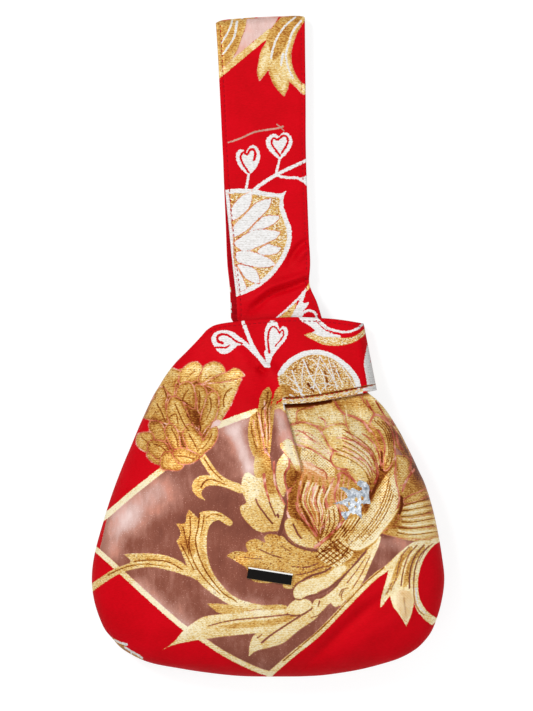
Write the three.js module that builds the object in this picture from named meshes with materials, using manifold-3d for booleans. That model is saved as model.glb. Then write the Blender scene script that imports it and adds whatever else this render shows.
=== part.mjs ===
// Knot bag: a stuffed brocade pouch whose long loop handle is drawn through its short one.
// It lies on its back. Millimetres, X to the right, Y towards the top of the long handle, Z up.
import * as THREE from "three";
import { mergeVertices } from "three/addons/utils/BufferGeometryUtils.js";
import Module from "manifold-3d";

const wasm = await Module();
wasm.setup();

// The pouch and its handles, seen flat
const pouchWidth = 253.5;
const pouchHeight = 257.5; // bottom seam to the upper edge of the crossing band
const strapRise = 219; // upper edge of the crossing band to the top of the long handle
const strapTopWidth = 64.5;
const strapLowWidth = 56;
const strapTopCentre = -5.8;
const strapLowCentre = 2.4;
const strapFlareHeight = 25; // the long handle widens over this much above the band
const backStrapPeek = 4.3; // how far the handle's back layer shows beside its front one

// Heights above the ground
const sideSeamHeight = 22;
const bellyRise = 48; // above the side seam
const knotSeamHeight = 10;
const knotRise = 7;
const strapLoopHeight = 12.4;
const lapLift = 4.6; // the short handle rides this much clear of the long one
const lapEdge = 3; // the lift is full this far before the covered edge
const lapRamp = 23;
const backPressing = 1.55; // how far the back's pillow shape is pressed flat on the ground

// Cloth
const panelThickness = 1.4;
const liningThickness = 0.7;
const layerGap = 0.3;
const seamGap = 0.3;
const liningSeamInset = 1.5; // the lining bag is this much smaller than the outer one at its seams
const bandFoldReach = 9;
const strapFoldReach = 6;

// Name plate, bare metal with two legs through the front panel
const plateLength = 32;
const plateWidth = 8.4;
const plateThickness = 0.9;
const plateBevel = 0.25;
const plateSeatGap = 0.3;
const plateCentre = [0.01, 0.287];
const plateTilt = -9;
const legLength = 1.9;
const legWidth = 2.4;
const legThickness = 0.6;
const legInset = 4;
const slotClearance = 0.3;
const slotDepth = 12; // deep enough to pass the whole panel

// Soft folds pressed into the front by the knot
const gatherCount = 9;
const gatherDepth = 1.5;
const gatherSpread = 75;
const gatherFadeFrom = 12;
const gatherFullFrom = 30;
const mouthFade = 16; // the folds grow to full depth over this much beside the mouth
const gatherStart = [0.32, 0.79];
const ridgeHeight = 4;
const ridgeFade = 20;
const ridgeCentre = [0.44, 0.533];
const ridgeReach = [38, 49];

const rowSteps = { bottom: 5, corner: 5, belly: 8, shoulder: 6, band: 7, neck: 5, flare: 2, strap: 10 };
const acrossShares = [0, 0.06, 0.134, 0.234, 0.357, 0.5, 0.658, 0.826, 1];
const foldAngles = [30, 60, 90];

// Places as shares of half the pouch's width and of its height, from the bottom centre
const halfWidth = pouchWidth / 2;
const bottomY = -(pouchHeight + strapRise) / 2;
const place = ([across, up]) => new THREE.Vector2(across * halfWidth, bottomY + up * pouchHeight);
const upShare = (y) => (y - bottomY) / pouchHeight;

// Outlines of the cut panel, all starting at the seam's lowest point on the middle line
const bottomPoint = [0.182, 0];
const leftSide = [
  bottomPoint, [-0.159, 0.002], [-0.5, 0.022], [-0.727, 0.047], [-0.886, 0.106], [-0.972, 0.173], [-1, 0.274],
  [-0.972, 0.374], [-0.886, 0.508], [-0.778, 0.642], [-0.659, 0.777], [-0.523, 0.877], [-0.369, 0.958],
].map(place);
const rightSide = [
  bottomPoint, [0.523, 0.02], [0.75, 0.05], [0.898, 0.106], [0.972, 0.184], [1, 0.268],
  [0.983, 0.341], [0.949, 0.441], [0.886, 0.542], [0.79, 0.642], [0.716, 0.709], [0.602, 0.774],
].map(place);
const middleLine = [bottomPoint, [0.182, 0.2], [0.182, 0.34], [0.182, 0.553]].map(place);
const frontMouth = [
  [0.182, 0.553], [0.187, 0.598], [0.151, 0.654], [0.125, 0.704], [0.102, 0.737], [0.091, 0.768],
].map(place);
const hiddenMouth = [
  [0.182, 0.553], [0.198, 0.578], [0.19, 0.604], [0.114, 0.654], [0.051, 0.715], [-0.011, 0.777],
  [-0.074, 0.855], [-0.136, 0.93], [-0.176, 1],
].map(place);
const hiddenSide = [[0.602, 0.774], [0.534, 0.804], [0.466, 0.86], [0.386, 0.93], [0.307, 1]].map(place);

// The short handle's crossing band ends in a fold at the right
const bandEndTop = place([0.545, 0.983]);
const bandEndBottom = place([0.619, 0.802]);
const beforeBandFold = (corner) => corner.clone().sub(new THREE.Vector2(bandFoldReach, 0));
const bandTop = [
  ...[[-0.369, 0.958], [-0.307, 0.98], [-0.17, 0.99], [-0.034, 0.997], [0.131, 1.003], [0.307, 1]].map(place),
  beforeBandFold(bandEndTop),
];
const bandBottom = [
  ...[[0.091, 0.768], [0.199, 0.763], [0.295, 0.768], [0.426, 0.779]].map(place),
  beforeBandFold(bandEndBottom),
];

// The long handle rises from the band to a fold at its top
const strapTopY = bottomY + pouchHeight + strapRise;
const strapLowY = bottomY + pouchHeight + strapFlareHeight;
const strapFoldY = strapTopY - strapFoldReach;
function strapCorner(side, y) {
  const up = (y - strapLowY) / (strapTopY - strapLowY);
  const centre = THREE.MathUtils.lerp(strapLowCentre, strapTopCentre, up);
  const width = THREE.MathUtils.lerp(strapLowWidth, strapTopWidth, up);
  return new THREE.Vector2(centre + (side * width) / 2, y);
}
const flareLeft = [place([-0.176, 1]), strapCorner(-1, strapLowY)];
const flareRight = [place([0.307, 1]), strapCorner(1, strapLowY)];

const { smoothstep, lerp, degToRad } = THREE.MathUtils;

// A smooth height profile through values at given shares of the pouch's height
function profile(shares, values) {
  const curve = new THREE.CubicInterpolant(shares, values, 1);
  return (share) => curve.evaluate(THREE.MathUtils.clamp(share, shares[0], shares.at(-1)))[0];
}
const strapMid = strapLoopHeight / 2;
const seamProfile = profile(
  [0, 0.66, 0.78, 0.9, 1, 1.18, 1.3, 2],
  [sideSeamHeight, sideSeamHeight, lerp(sideSeamHeight, knotSeamHeight, 0.5),
    lerp(sideSeamHeight, knotSeamHeight, 0.85), knotSeamHeight, strapMid, strapMid, strapMid],
);
const fallTo = (share) => lerp(knotRise, bellyRise, share);
const riseProfile = profile(
  [0, 0.36, 0.5, 0.6, 0.68, 0.74, 0.8, 0.86, 0.93, 1, 1.18, 1.3, 2],
  [bellyRise, bellyRise, fallTo(0.96), fallTo(0.83), fallTo(0.63), fallTo(0.45), fallTo(0.24),
    fallTo(0.09), fallTo(0.02), knotRise, strapMid, strapMid, strapMid],
);
const squarenessProfile = profile([0, 0.4, 0.6, 0.75, 0.9, 2], [2.3, 2.3, 2.8, 4, 7, 7]);
const widestShare = 0.36;

// Where the outline stands at a height, read off a list of points that climbs
function acrossAt(points, y) {
  if (y <= points[0].y) return points[0].x;
  for (let i = 1; i < points.length; i++) {
    if (y > points[i].y) continue;
    const share = (y - points[i - 1].y) / (points[i].y - points[i - 1].y || 1);
    return lerp(points[i - 1].x, points[i].x, share);
  }
  return points.at(-1).x;
}
const smoothed = (points) => new THREE.SplineCurve(points).getPoints(points.length * 12);
const leftEdge = smoothed(leftSide);
const rightEdge = [...smoothed(rightSide), bandEndTop.clone()];
const hiddenEdge = smoothed(hiddenMouth);
const mouthEdge = smoothed(frontMouth);

// How far a seamed edge has opened into a free one, from 0 to 1
const leftFreedom = (up) => smoothstep(up, 0.9, 0.97);
const rightFreedom = (up) => smoothstep(up, 0.72, 0.8);
const edgeFreedom = (x, up) => (x < 0 ? leftFreedom(up) : rightFreedom(up));

// The pillow shape, 0 on the seam and 1 on the crown
function crown(x, y) {
  const up = upShare(y);
  const left = acrossAt(leftEdge, y);
  const right = acrossAt(rightEdge, y);
  const fromMiddle = Math.min(1, Math.abs(2 * x - left - right) / Math.max(right - left, 0.01));
  const seamed = Math.pow(1 - Math.pow(fromMiddle, squarenessProfile(up)), 0.55);
  const free = 1 - 0.1 * fromMiddle ** 2;
  const across = lerp(seamed, up > 1 ? 1 : free, edgeFreedom(x, up));
  const below = Math.max(0, (widestShare - up) / widestShare);
  return across * Math.pow(1 - Math.min(1, below) ** 2.4, 0.6);
}

// Gathers that fan out below the knot, and the long ridge to their right
function folds(x, y) {
  const start = place(gatherStart);
  const reach = Math.hypot(x - start.x, y - start.y);
  const turn = Math.atan2(y - start.y, x - start.x);
  const mouth = acrossAt(mouthEdge, y);
  const uncovered = smoothstep(x, mouth, mouth + mouthFade) * (1 - smoothstep(upShare(y), 0.7, 0.77));
  const grown = smoothstep(reach, gatherFadeFrom, gatherFullFrom);
  const fan = uncovered * grown * (1 - smoothstep(reach, gatherFullFrom, gatherSpread));
  const gathers = gatherDepth * fan * Math.cos(gatherCount * turn);
  const middle = place(ridgeCentre);
  const away = Math.hypot((x - middle.x) / ridgeReach[0], (y - middle.y) / ridgeReach[1]);
  const rightward = smoothstep(x, middle.x, middle.x + ridgeFade);
  const ridge = Math.exp(-(((away - 1) / 0.24) ** 2)) - 0.8 * Math.exp(-(((away - 0.62) / 0.2) ** 2));
  return gathers + ridgeHeight * rightward * ridge * smoothstep(1 - upShare(y), 0.2, 0.3);
}

// The short handle lies over the long one on the front, and under it on the back
function frontLap(x, y) {
  const under = acrossAt(hiddenEdge, y);
  const above = smoothstep(upShare(y), 0.553, 0.6);
  return lapLift * above * smoothstep(x, under - lapEdge - lapRamp, under - lapEdge);
}
function backLap(x, y) {
  const up = upShare(y);
  const mouth = acrossAt(mouthEdge, y);
  const beside = 1 - smoothstep(x, mouth + lapEdge, mouth + lapEdge + lapRamp);
  const behindBand = smoothstep(up, 0.71, 0.76);
  const strapStart = 1 - smoothstep(up, 1.03, 1.14);
  return lapLift * smoothstep(up, 0.553, 0.6) * Math.max(beside, behindBand) * strapStart;
}

// A loop's end: the layer turns from its own height to the loop's middle height
function turned(height, middle, distance, reach) {
  if (distance >= reach) return height;
  const across = 1 - Math.max(0, distance) / reach;
  return middle + (height - middle) * Math.sqrt(Math.max(0, 1 - across * across));
}
const bandEndX = (y) => lerp(bandEndBottom.x, bandEndTop.x,
  (y - bandEndBottom.y) / (bandEndTop.y - bandEndBottom.y));

function heightOf(x, y, handle, face) {
  const seam = seamProfile(upShare(y));
  const lip = seam + (face * seamGap) / 2;
  let height;
  if (face > 0) {
    const full = crown(x, y);
    height = lip + riseProfile(upShare(y)) * full + folds(x, y) * full;
    if (handle === "short") height += frontLap(x, y);
  } else {
    const pressed = Math.min(1, backPressing * crown(x, y));
    height = lip * Math.pow(1 - pressed, 1.3);
    if (handle === "long") height += backLap(x, y);
  }
  if (handle === "short") return turned(height, lip, bandEndX(y) - x, upShare(y) > 0.7 ? bandFoldReach : 0);
  return turned(height, lip, strapTopY - y, strapFoldReach);
}

// Steps along a curve between two of the points that it passes, equal where ease is 1
function stepsAlong(points, first, last, steps, ease = 1) {
  const curve = new THREE.SplineCurve(points);
  const fine = [];
  const fineSteps = 40 * (last - first);
  for (let i = 0; i <= fineSteps; i++) {
    fine.push(curve.getPoint((first + ((last - first) * i) / fineSteps) / (points.length - 1)));
  }
  const lengths = [0];
  for (let i = 1; i < fine.length; i++) lengths.push(lengths[i - 1] + fine[i].distanceTo(fine[i - 1]));
  const result = [];
  for (let step = 0; step <= steps; step++) {
    const goal = lengths.at(-1) * (step / steps) ** ease;
    let i = 1;
    while (i < fine.length - 1 && lengths[i] < goal) i++;
    const share = (goal - lengths[i - 1]) / (lengths[i] - lengths[i - 1]);
    result.push(fine[i - 1].clone().lerp(fine[i], share));
  }
  return result;
}
function foldSteps(from, to) {
  return [0, ...foldAngles].map((angle) => from.clone().lerp(to, Math.sin(degToRad(angle))));
}

// One side of the panel as rows, each running from the outer edge to the inner one
function rowsBetween(sections) {
  const rows = [];
  for (const [outer, inner, edge] of sections) {
    const skip = rows.length ? 1 : 0;
    for (let i = skip; i < outer.length; i++) {
      rows.push({ outer: outer[i], inner: inner[i], edge, end: edge === "fold" && i === outer.length - 1 });
    }
  }
  return rows;
}
const middleRun = (first, steps) => stepsAlong(middleLine, first, first + 1, steps, first === 0 ? 0.6 : 1);
const shortHandleRows = rowsBetween([
  [stepsAlong(leftSide, 0, 3, rowSteps.bottom), middleRun(0, rowSteps.bottom), "seam"],
  [stepsAlong(leftSide, 3, 6, rowSteps.corner), middleRun(1, rowSteps.corner), "seam"],
  [stepsAlong(leftSide, 6, 9, rowSteps.belly), middleRun(2, rowSteps.belly), "seam"],
  [stepsAlong(leftSide, 9, 12, rowSteps.shoulder), stepsAlong(frontMouth, 0, 5, rowSteps.shoulder), "seam"],
  [stepsAlong(bandTop, 0, 6, rowSteps.band), stepsAlong(bandBottom, 0, 4, rowSteps.band), "free"],
  [foldSteps(bandTop.at(-1), bandEndTop), foldSteps(bandBottom.at(-1), bandEndBottom), "fold"],
]);
function longHandleRows(face) {
  const peek = new THREE.Vector2(face < 0 ? -backStrapPeek : 0, 0);
  const flareStart = flareLeft[0].clone().add(peek);
  const strapStart = flareLeft[1].clone().add(peek);
  const strapEnd = [strapCorner(-1, strapFoldY), strapCorner(1, strapFoldY)];
  const hidden = stepsAlong(hiddenMouth, 5, 8, rowSteps.neck);
  hidden.forEach((point, i) => point.addScaledVector(peek, i / rowSteps.neck));
  return rowsBetween([
    [stepsAlong(rightSide, 0, 2, rowSteps.bottom), middleRun(0, rowSteps.bottom), "seam"],
    [stepsAlong(rightSide, 2, 5, rowSteps.corner), middleRun(1, rowSteps.corner), "seam"],
    [stepsAlong(rightSide, 5, 8, rowSteps.belly), middleRun(2, rowSteps.belly), "seam"],
    [stepsAlong(rightSide, 8, 11, rowSteps.shoulder), stepsAlong(hiddenMouth, 0, 5, rowSteps.shoulder), "seam"],
    [stepsAlong(hiddenSide, 0, 4, rowSteps.neck), hidden, "free"],
    [stepsAlong(flareRight, 0, 1, rowSteps.flare),
      stepsAlong([flareStart, strapStart], 0, 1, rowSteps.flare), "free"],
    [stepsAlong([flareRight[1], strapEnd[1]], 0, 1, rowSteps.strap),
      stepsAlong([strapStart, strapEnd[0]], 0, 1, rowSteps.strap), "free"],
    [foldSteps(strapEnd[1], strapCorner(1, strapTopY)),
      foldSteps(strapEnd[0], strapCorner(-1, strapTopY)), "fold"],
  ]);
}

// The panel's outer face as one open surface, its two sides joined along the middle line
function panelSurface(face) {
  const vertices = [];
  const found = new Map();
  const triangles = [];
  function vertex(plan, handle, opened) {
    const shared = upShare(plan.y) < 0.5531 && Math.abs(plan.x - middleLine[0].x) < 0.01;
    const key = [plan.x.toFixed(3), plan.y.toFixed(3), shared ? "both" : handle].join();
    if (!found.has(key)) {
      found.set(key, vertices.length);
      const height = heightOf(plan.x, plan.y, handle, face);
      vertices.push({ at: new THREE.Vector3(plan.x, plan.y, height), opened, normal: new THREE.Vector3() });
    }
    return found.get(key);
  }
  function addRows(rows, handle, flip) {
    const grid = rows.map((row) => acrossShares.map((share) => {
      const plan = share === 1 ? row.inner.clone() : row.outer.clone().lerp(row.inner, share);
      let opened = 1;
      if (row.edge === "seam" && share === 0) opened = edgeFreedom(plan.x, upShare(plan.y));
      if (row.end) opened = 0;
      return vertex(plan, handle, opened);
    }));
    const wind = (a, b, c) => {
      if (a === b || b === c || a === c) return;
      triangles.push(flip ? [a, c, b] : [a, b, c]);
    };
    for (let i = 1; i < grid.length; i++) {
      for (let j = 1; j < acrossShares.length; j++) {
        const [a, b, c, d] = [grid[i - 1][j - 1], grid[i][j - 1], grid[i][j], grid[i - 1][j]];
        wind(a, b, c);
        wind(a, c, d);
      }
    }
  }
  addRows(shortHandleRows, "short", face > 0);
  addRows(longHandleRows(face), "long", face < 0);
  for (const [a, b, c] of triangles) {
    const [p, q, r] = [vertices[a].at, vertices[b].at, vertices[c].at];
    const area = q.clone().sub(p).cross(r.clone().sub(p));
    for (const index of [a, b, c]) vertices[index].normal.add(area);
  }
  for (const point of vertices) {
    point.normal.normalize();
    point.normal.z *= point.opened;
    point.normal.normalize();
  }
  return { vertices, triangles };
}

// A closed layer of cloth between two depths below that face
function clothLayer(surface, near, far) {
  const inset = near > 0 ? liningSeamInset : 0;
  const positions = [];
  for (const depth of [near, far]) {
    for (const point of surface.vertices) {
      const reach = depth + inset * (1 - point.opened);
      positions.push(...point.at.clone().addScaledVector(point.normal, -reach).toArray());
    }
  }
  const count = surface.vertices.length;
  const indices = [];
  const openEdges = new Map();
  for (const [a, b, c] of surface.triangles) {
    indices.push(a, b, c, a + count, c + count, b + count);
    for (const [from, to] of [[a, b], [b, c], [c, a]]) {
      if (!openEdges.delete(`${to} ${from}`)) openEdges.set(`${from} ${to}`, [from, to]);
    }
  }
  for (const [from, to] of openEdges.values()) {
    indices.push(from, from + count, to + count, from, to + count, to);
  }
  const geometry = new THREE.BufferGeometry();
  geometry.setAttribute("position", new THREE.Float32BufferAttribute(positions, 3));
  geometry.setIndex(indices);
  return geometry;
}

function toSolid(geometry) {
  return new wasm.Manifold(new wasm.Mesh({
    numProp: 3,
    vertProperties: new Float32Array(geometry.attributes.position.array),
    triVerts: new Uint32Array(geometry.index.array),
  }));
}
function toGeometry(solid) {
  const mesh = solid.getMesh();
  const geometry = new THREE.BufferGeometry();
  geometry.setAttribute("position", new THREE.Float32BufferAttribute(mesh.vertProperties, 3));
  geometry.setIndex(Array.from(mesh.triVerts));
  geometry.computeVertexNormals();
  return geometry;
}

// A three.js solid with its corners shared
function mergedSolid(geometry) {
  geometry.deleteAttribute("normal");
  geometry.deleteAttribute("uv");
  return toSolid(mergeVertices(geometry, 1e-4));
}

// The name plate's frame: on the front panel, facing straight out of the cloth
function plateFrame() {
  const centre = place(plateCentre);
  const step = plateWidth * 0.7;
  const heightAt = (x, y) => heightOf(x, y, "short", 1);
  const slope = new THREE.Vector3(
    heightAt(centre.x - step, centre.y) - heightAt(centre.x + step, centre.y),
    heightAt(centre.x, centre.y - step) - heightAt(centre.x, centre.y + step),
    2 * step,
  ).normalize();
  const along = new THREE.Vector3(Math.cos(degToRad(plateTilt)), Math.sin(degToRad(plateTilt)), 0);
  const up = slope.clone().cross(along).normalize();
  const right = up.clone().cross(slope).normalize();
  const frame = new THREE.Matrix4().makeBasis(right, up, slope);
  const seat = new THREE.Vector3(centre.x, centre.y, heightAt(centre.x, centre.y));
  return frame.setPosition(seat.addScaledVector(slope, plateSeatGap));
}
function plateShape() {
  const [x, y] = [plateLength / 2 - plateBevel, plateWidth / 2 - plateBevel];
  return new THREE.Shape([
    new THREE.Vector2(-x, -y), new THREE.Vector2(x, -y), new THREE.Vector2(x, y), new THREE.Vector2(-x, y),
  ]);
}
function legSolids(frame, clearance, length) {
  return [-1, 1].map((side) => {
    const matrix = new THREE.Matrix4().makeTranslation(side * (plateLength / 2 - legInset), 0,
      plateThickness / 2 - length / 2);
    const leg = new THREE.BoxGeometry(legThickness + 2 * clearance, legWidth + 2 * clearance, length);
    return mergedSolid(leg.applyMatrix4(frame.clone().multiply(matrix)));
  });
}
function plateSolid(frame) {
  const raw = new THREE.ExtrudeGeometry(plateShape(), {
    depth: plateThickness - 2 * plateBevel, bevelEnabled: true, bevelThickness: plateBevel,
    bevelSize: plateBevel, bevelSegments: 2,
  });
  raw.translate(0, 0, plateBevel);
  raw.applyMatrix4(frame);
  const legs = legSolids(frame, 0, legLength + plateThickness / 2);
  return legs.reduce((plate, leg) => plate.add(leg), mergedSolid(raw));
}

const brocade = new THREE.MeshStandardMaterial({ color: 0xc8102a, roughness: 0.55, metalness: 0.05 });
const liningCloth = new THREE.MeshStandardMaterial({ color: 0x8c1a24, roughness: 0.85, metalness: 0 });
const blackMetal = new THREE.MeshStandardMaterial({ color: 0x0c0b0d, roughness: 0.25, metalness: 0.6 });

const group = new THREE.Group();
function addMesh(name, geometry, material) {
  const mesh = new THREE.Mesh(geometry, material);
  mesh.name = name;
  group.add(mesh);
}

const frontSurface = panelSurface(1);
const backSurface = panelSurface(-1);
const liningNear = panelThickness + layerGap;
const liningFar = liningNear + liningThickness;
const frame = plateFrame();
const slots = legSolids(frame, slotClearance, slotDepth);
const frontPanel = slots.reduce(
  (panel, slot) => panel.subtract(slot),
  toSolid(clothLayer(frontSurface, 0, panelThickness)),
);
addMesh("outer_front_panel", toGeometry(frontPanel), brocade);
addMesh("outer_back_panel", toGeometry(toSolid(clothLayer(backSurface, 0, panelThickness))), brocade);
addMesh("lining_front", toGeometry(toSolid(clothLayer(frontSurface, liningNear, liningFar))), liningCloth);
addMesh("lining_back", toGeometry(toSolid(clothLayer(backSurface, liningNear, liningFar))), liningCloth);
addMesh("name_plate", toGeometry(plateSolid(frame)), blackMetal);

export default group;
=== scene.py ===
import math
import bmesh
import bpy
import numpy as np
from mathutils import Matrix, Vector, kdtree
from mathutils.geometry import delaunay_2d_cdt


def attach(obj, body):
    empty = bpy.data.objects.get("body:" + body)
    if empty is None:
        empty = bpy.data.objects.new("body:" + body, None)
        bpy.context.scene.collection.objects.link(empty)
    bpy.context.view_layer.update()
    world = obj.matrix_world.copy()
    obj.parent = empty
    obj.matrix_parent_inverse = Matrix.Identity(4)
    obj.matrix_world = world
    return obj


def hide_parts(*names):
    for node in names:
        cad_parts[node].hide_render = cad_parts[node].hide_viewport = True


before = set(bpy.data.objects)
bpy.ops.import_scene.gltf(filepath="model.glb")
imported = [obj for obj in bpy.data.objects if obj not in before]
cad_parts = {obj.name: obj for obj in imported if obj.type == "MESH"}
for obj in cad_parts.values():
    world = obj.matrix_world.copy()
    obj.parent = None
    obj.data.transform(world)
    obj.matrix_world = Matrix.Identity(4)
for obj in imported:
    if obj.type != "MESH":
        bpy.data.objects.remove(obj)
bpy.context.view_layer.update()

# The bag is drawn in the photograph's pixels: x to the right, y down. One pixel is this many metres.
photo = {"middle": (268.0, 345.0), "size": (533, 711), "pixel": 0.00072, "pixelMm": 0.72, "distance": 4.0,
         "seam": 0.022}


def toPlan(x, y):
    return (x - photo["middle"][0]) * photo["pixel"], (photo["middle"][1] - y) * photo["pixel"]


def toPixels(points):
    # where the camera, straight above, sees a point of the part
    centreX, centreY = toPlan(photo["size"][0] / 2, photo["size"][1] / 2)
    depth = photo["seam"] + photo["distance"] - points[:, 2]
    scale = photo["distance"] / depth / photo["pixel"]
    x = photo["size"][0] / 2 + (points[:, 0] - centreX) * scale
    y = photo["size"][1] / 2 - (points[:, 1] - centreY) * scale
    return np.stack([x, y], 1)


def ease(low, high, value):
    share = np.clip((value - low) / (high - low), 0, 1)
    return share * share * (3 - 2 * share)


def curveThrough(points, closed=False, step=1.0):
    # a smooth line through points; a point with a third value of 1 is a sharp corner
    flat = np.array([p[:2] for p in points], float)
    sharp = [len(p) > 2 and p[2] == 1 for p in points]
    count = len(flat)
    out = []
    for i in range(count if closed else count - 1):
        p0, p1, p2, p3 = (flat[(i + k) % count] if closed else flat[min(max(i + k, 0), count - 1)]
                          for k in (-1, 0, 1, 2))
        start = np.zeros(2) if sharp[i] else (p2 - p0) / 2
        end = np.zeros(2) if sharp[(i + 1) % count] else (p3 - p1) / 2
        if sharp[i]:
            start = (p2 - p1) * 0.6
        if sharp[(i + 1) % count]:
            end = (p2 - p1) * 0.6
        steps = max(2, int(np.linalg.norm(p2 - p1) / step))
        for t in np.arange(steps) / steps:
            a, b, c, d = 2*t**3 - 3*t**2 + 1, t**3 - 2*t**2 + t, -2*t**3 + 3*t**2, t**3 - t**2
            out.append(a * p1 + b * start + c * p2 + d * end)
    if not closed:
        out.append(flat[-1])
    return np.array(out)


def evenSteps(line, step):
    lengths = np.r_[0, np.cumsum(np.linalg.norm(np.diff(line, axis=0), axis=1))]
    goals = np.linspace(0, lengths[-1], max(2, int(round(lengths[-1] / step)) + 1))
    return np.stack([np.interp(goals, lengths, line[:, k]) for k in (0, 1)], 1)


# Outlines of the cut cloth
outline = {
    "leftSide": [(300, 676.5), (270, 676.6), (240, 676), (210, 673), (180, 668.5), (148, 662), (124, 650),
                 (112, 638), (103, 626), (94.5, 602), (91.8, 578), (95, 552), (105, 516), (112, 494),
                 (121, 470), (131, 446), (141, 422), (152, 398), (159, 386), (166.5, 374), (176, 362),
                 (188, 350), (199, 338.5), (206, 330.5)],
    "rightSide": [(300, 676.5), (320, 675.5), (340, 673), (360, 669.5), (380, 664.5), (400, 658),
                  (416, 649), (427, 638), (434, 626), (441, 604), (444.4, 580), (442, 556), (437.5, 530),
                  (432, 506), (425, 484), (418.5, 470), (413, 458), (407, 446), (401, 434), (394, 422),
                  (386, 410), (376, 399)],
    "hiddenSide": [(376, 399), (363, 388), (350, 368), (337, 343), (322, 318)],
    "middle": [(300, 676.5), (300, 478)],
    "mouth": [(300, 478), (301, 470), (299.5, 461), (294.5, 443), (290, 425), (286.5, 414), (284, 404)],
    "hiddenMouth": [(300, 478), (299.6, 474), (298, 465), (291, 446), (277, 420), (266, 398), (255, 370),
                    (244, 343), (237, 318)],
    "bandTop": [(206, 330.5), (215, 325), (233, 321.8), (262, 319), (291, 317), (322, 318), (343, 320),
                (364, 323.5)],
    "bandBottom": [(284, 404), (303, 403), (320, 401), (343, 397), (363, 393), (377, 390)],
    "strapLeft": {"front": [(237, 318), (236, 296), (232.5, 265), (229, 230), (225.3, 191), (222.5, 150),
                            (220, 98), (217.5, 50), (215.6, 22)],
                  "back": [(230.8, 318), (229.6, 288), (227, 262), (225.4, 222), (223.6, 180), (222.5, 150),
                           (220, 98), (217.5, 50), (215.6, 22)]},
    "strapRight": [(322, 318), (317, 302), (311.5, 290), (309.3, 281), (310.4, 262), (309, 236),
                   (307.6, 200), (306, 150), (305.8, 98), (305.3, 50), (305, 17)],
    "strapTop": [(305, 17), (300, 14.6), (268, 15.4), (236, 17.4), (221, 19.2), (215.6, 22)],
}
bandFold = {"top": (364, 323.5), "bottom": (377, 390), "reach": 12.5}
strapFold = {"reach": 8.3}

# Heights in millimetres against the photograph's y
seamKnots = [(0, 6.2), (230, 6.2), (272, 6.2), (318, 10), (354, 11.8), (397, 16), (440, 22), (700, 22)]
riseKnots = [(0, 6.2), (230, 6.2), (272, 6.2), (318, 7), (343, 7.9), (368, 11), (390, 17), (411, 25.5),
             (433, 33), (461, 41), (497, 46.4), (547, 48), (700, 48)]
squareKnots = [(0, 7), (354, 7), (408, 4), (461, 2.8), (533, 2.3), (700, 2.3)]
cloth = {"thickness": 2.1, "lap": 4.6, "backPress": 1.55, "seamInset": 3.2, "freeInset": 1.0,
         "seamGap": 0.12, "edgeRound": 1.5, "edgeBands": (0.15, 0.45, 0.9), "liningSpacing": 9}
hem = {"inset": 2.4, "height": 0.7, "width": 1.4}
stitch = {"inset": 4.2, "length": 3.5, "gap": 1.5, "width": 1.05, "proud": 0.16, "dent": 0.28,
          "dentWidth": 1.3}
# where the band crosses, the mouth's slit ends, the pouch is widest and the bag ends
bandY = 318
mouthEndY = 478
widestY = 547
bottomY = 676.5


def softProfile(knots, blur=7):
    ys = np.arange(-40, 760)
    values = np.interp(ys, [k[0] for k in knots], [k[1] for k in knots])
    kernel = np.exp(-(np.arange(-3 * blur, 3 * blur + 1) / blur) ** 2 / 2)
    smoothed = np.convolve(np.pad(values, 3 * blur, mode="edge"), kernel / kernel.sum(), mode="valid")
    return lambda y: np.interp(y, ys, smoothed)


seamOf = softProfile(seamKnots)
riseOf = softProfile(riseKnots)
squareOf = softProfile(squareKnots)


def acrossOf(points, extra=()):
    line = np.array(sorted(list(map(tuple, curveThrough(points))) + list(extra), key=lambda p: p[1]))
    return lambda y: np.interp(y, line[:, 1], line[:, 0])


leftAt = acrossOf(outline["leftSide"])
rightAt = acrossOf(outline["rightSide"], [(364, 318)])
mouthAt = acrossOf(outline["mouth"], [(300, 700)])
hiddenAt = acrossOf(outline["hiddenMouth"], [(300, 700)])


def opened(x, y):
    # 0 where the front and back panels are seamed together, 1 where their edges are free
    return np.where(x < 268, ease(355, 330, y), ease(418, 392, y))


def crown(x, y):
    left, right = leftAt(y), rightAt(y)
    fromMiddle = np.clip(np.abs(2 * x - left - right) / np.maximum(right - left, 0.5), 0, 1)
    seamed = (1 - fromMiddle ** squareOf(y)) ** 0.55
    free = np.where(y < bandY, 1, 1 - 0.1 * fromMiddle ** 2)
    across = seamed + (free - seamed) * opened(x, y)
    below = np.clip((y - widestY) / (bottomY - widestY), 0, 1)
    return across * (1 - below ** 2.4) ** 0.6


# Ridges and valleys pressed into the cloth: a path in pixels, height in millimetres, width in pixels
folds = {
    "gatherRidge": {"path": [(366, 402), (380, 420), (391, 440), (397, 468), (398, 497), (391, 519),
                             (377, 538), (355, 552)], "height": 4.6, "width": 12},
    "gatherValley": {"path": [(352, 412), (366, 430), (376, 452), (379, 475), (372, 500), (358, 515)],
                     "height": -5.0, "width": 9},
    "knotFoldA": {"path": [(340, 404), (346, 425), (350, 448), (350, 470)], "height": 1.6, "width": 7},
    "knotFoldB": {"path": [(324, 406), (326, 428), (327, 455), (324, 480)], "height": -1.2, "width": 7},
    "knotFoldC": {"path": [(308, 408), (309, 430), (311, 452)], "height": 1.1, "width": 6},
    "lowerRight": {"path": [(303, 668), (325, 646), (350, 622), (374, 602), (398, 588)], "height": -4.6,
                   "width": 6.5},
    "lowerRightTwo": {"path": [(330, 668), (352, 648), (378, 628), (404, 612)], "height": 2.6, "width": 9},
    "lowerLeft": {"path": [(120, 640), (150, 622), (178, 610)], "height": -0.8, "width": 12},
    "underBand": {"path": [(222, 392), (244, 400), (266, 414), (282, 440), (292, 470)], "height": 1.4,
                  "width": 10},
    "leftDip": {"path": [(180, 372), (205, 392), (232, 420), (250, 450)], "height": -1.3, "width": 13},
}
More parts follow.
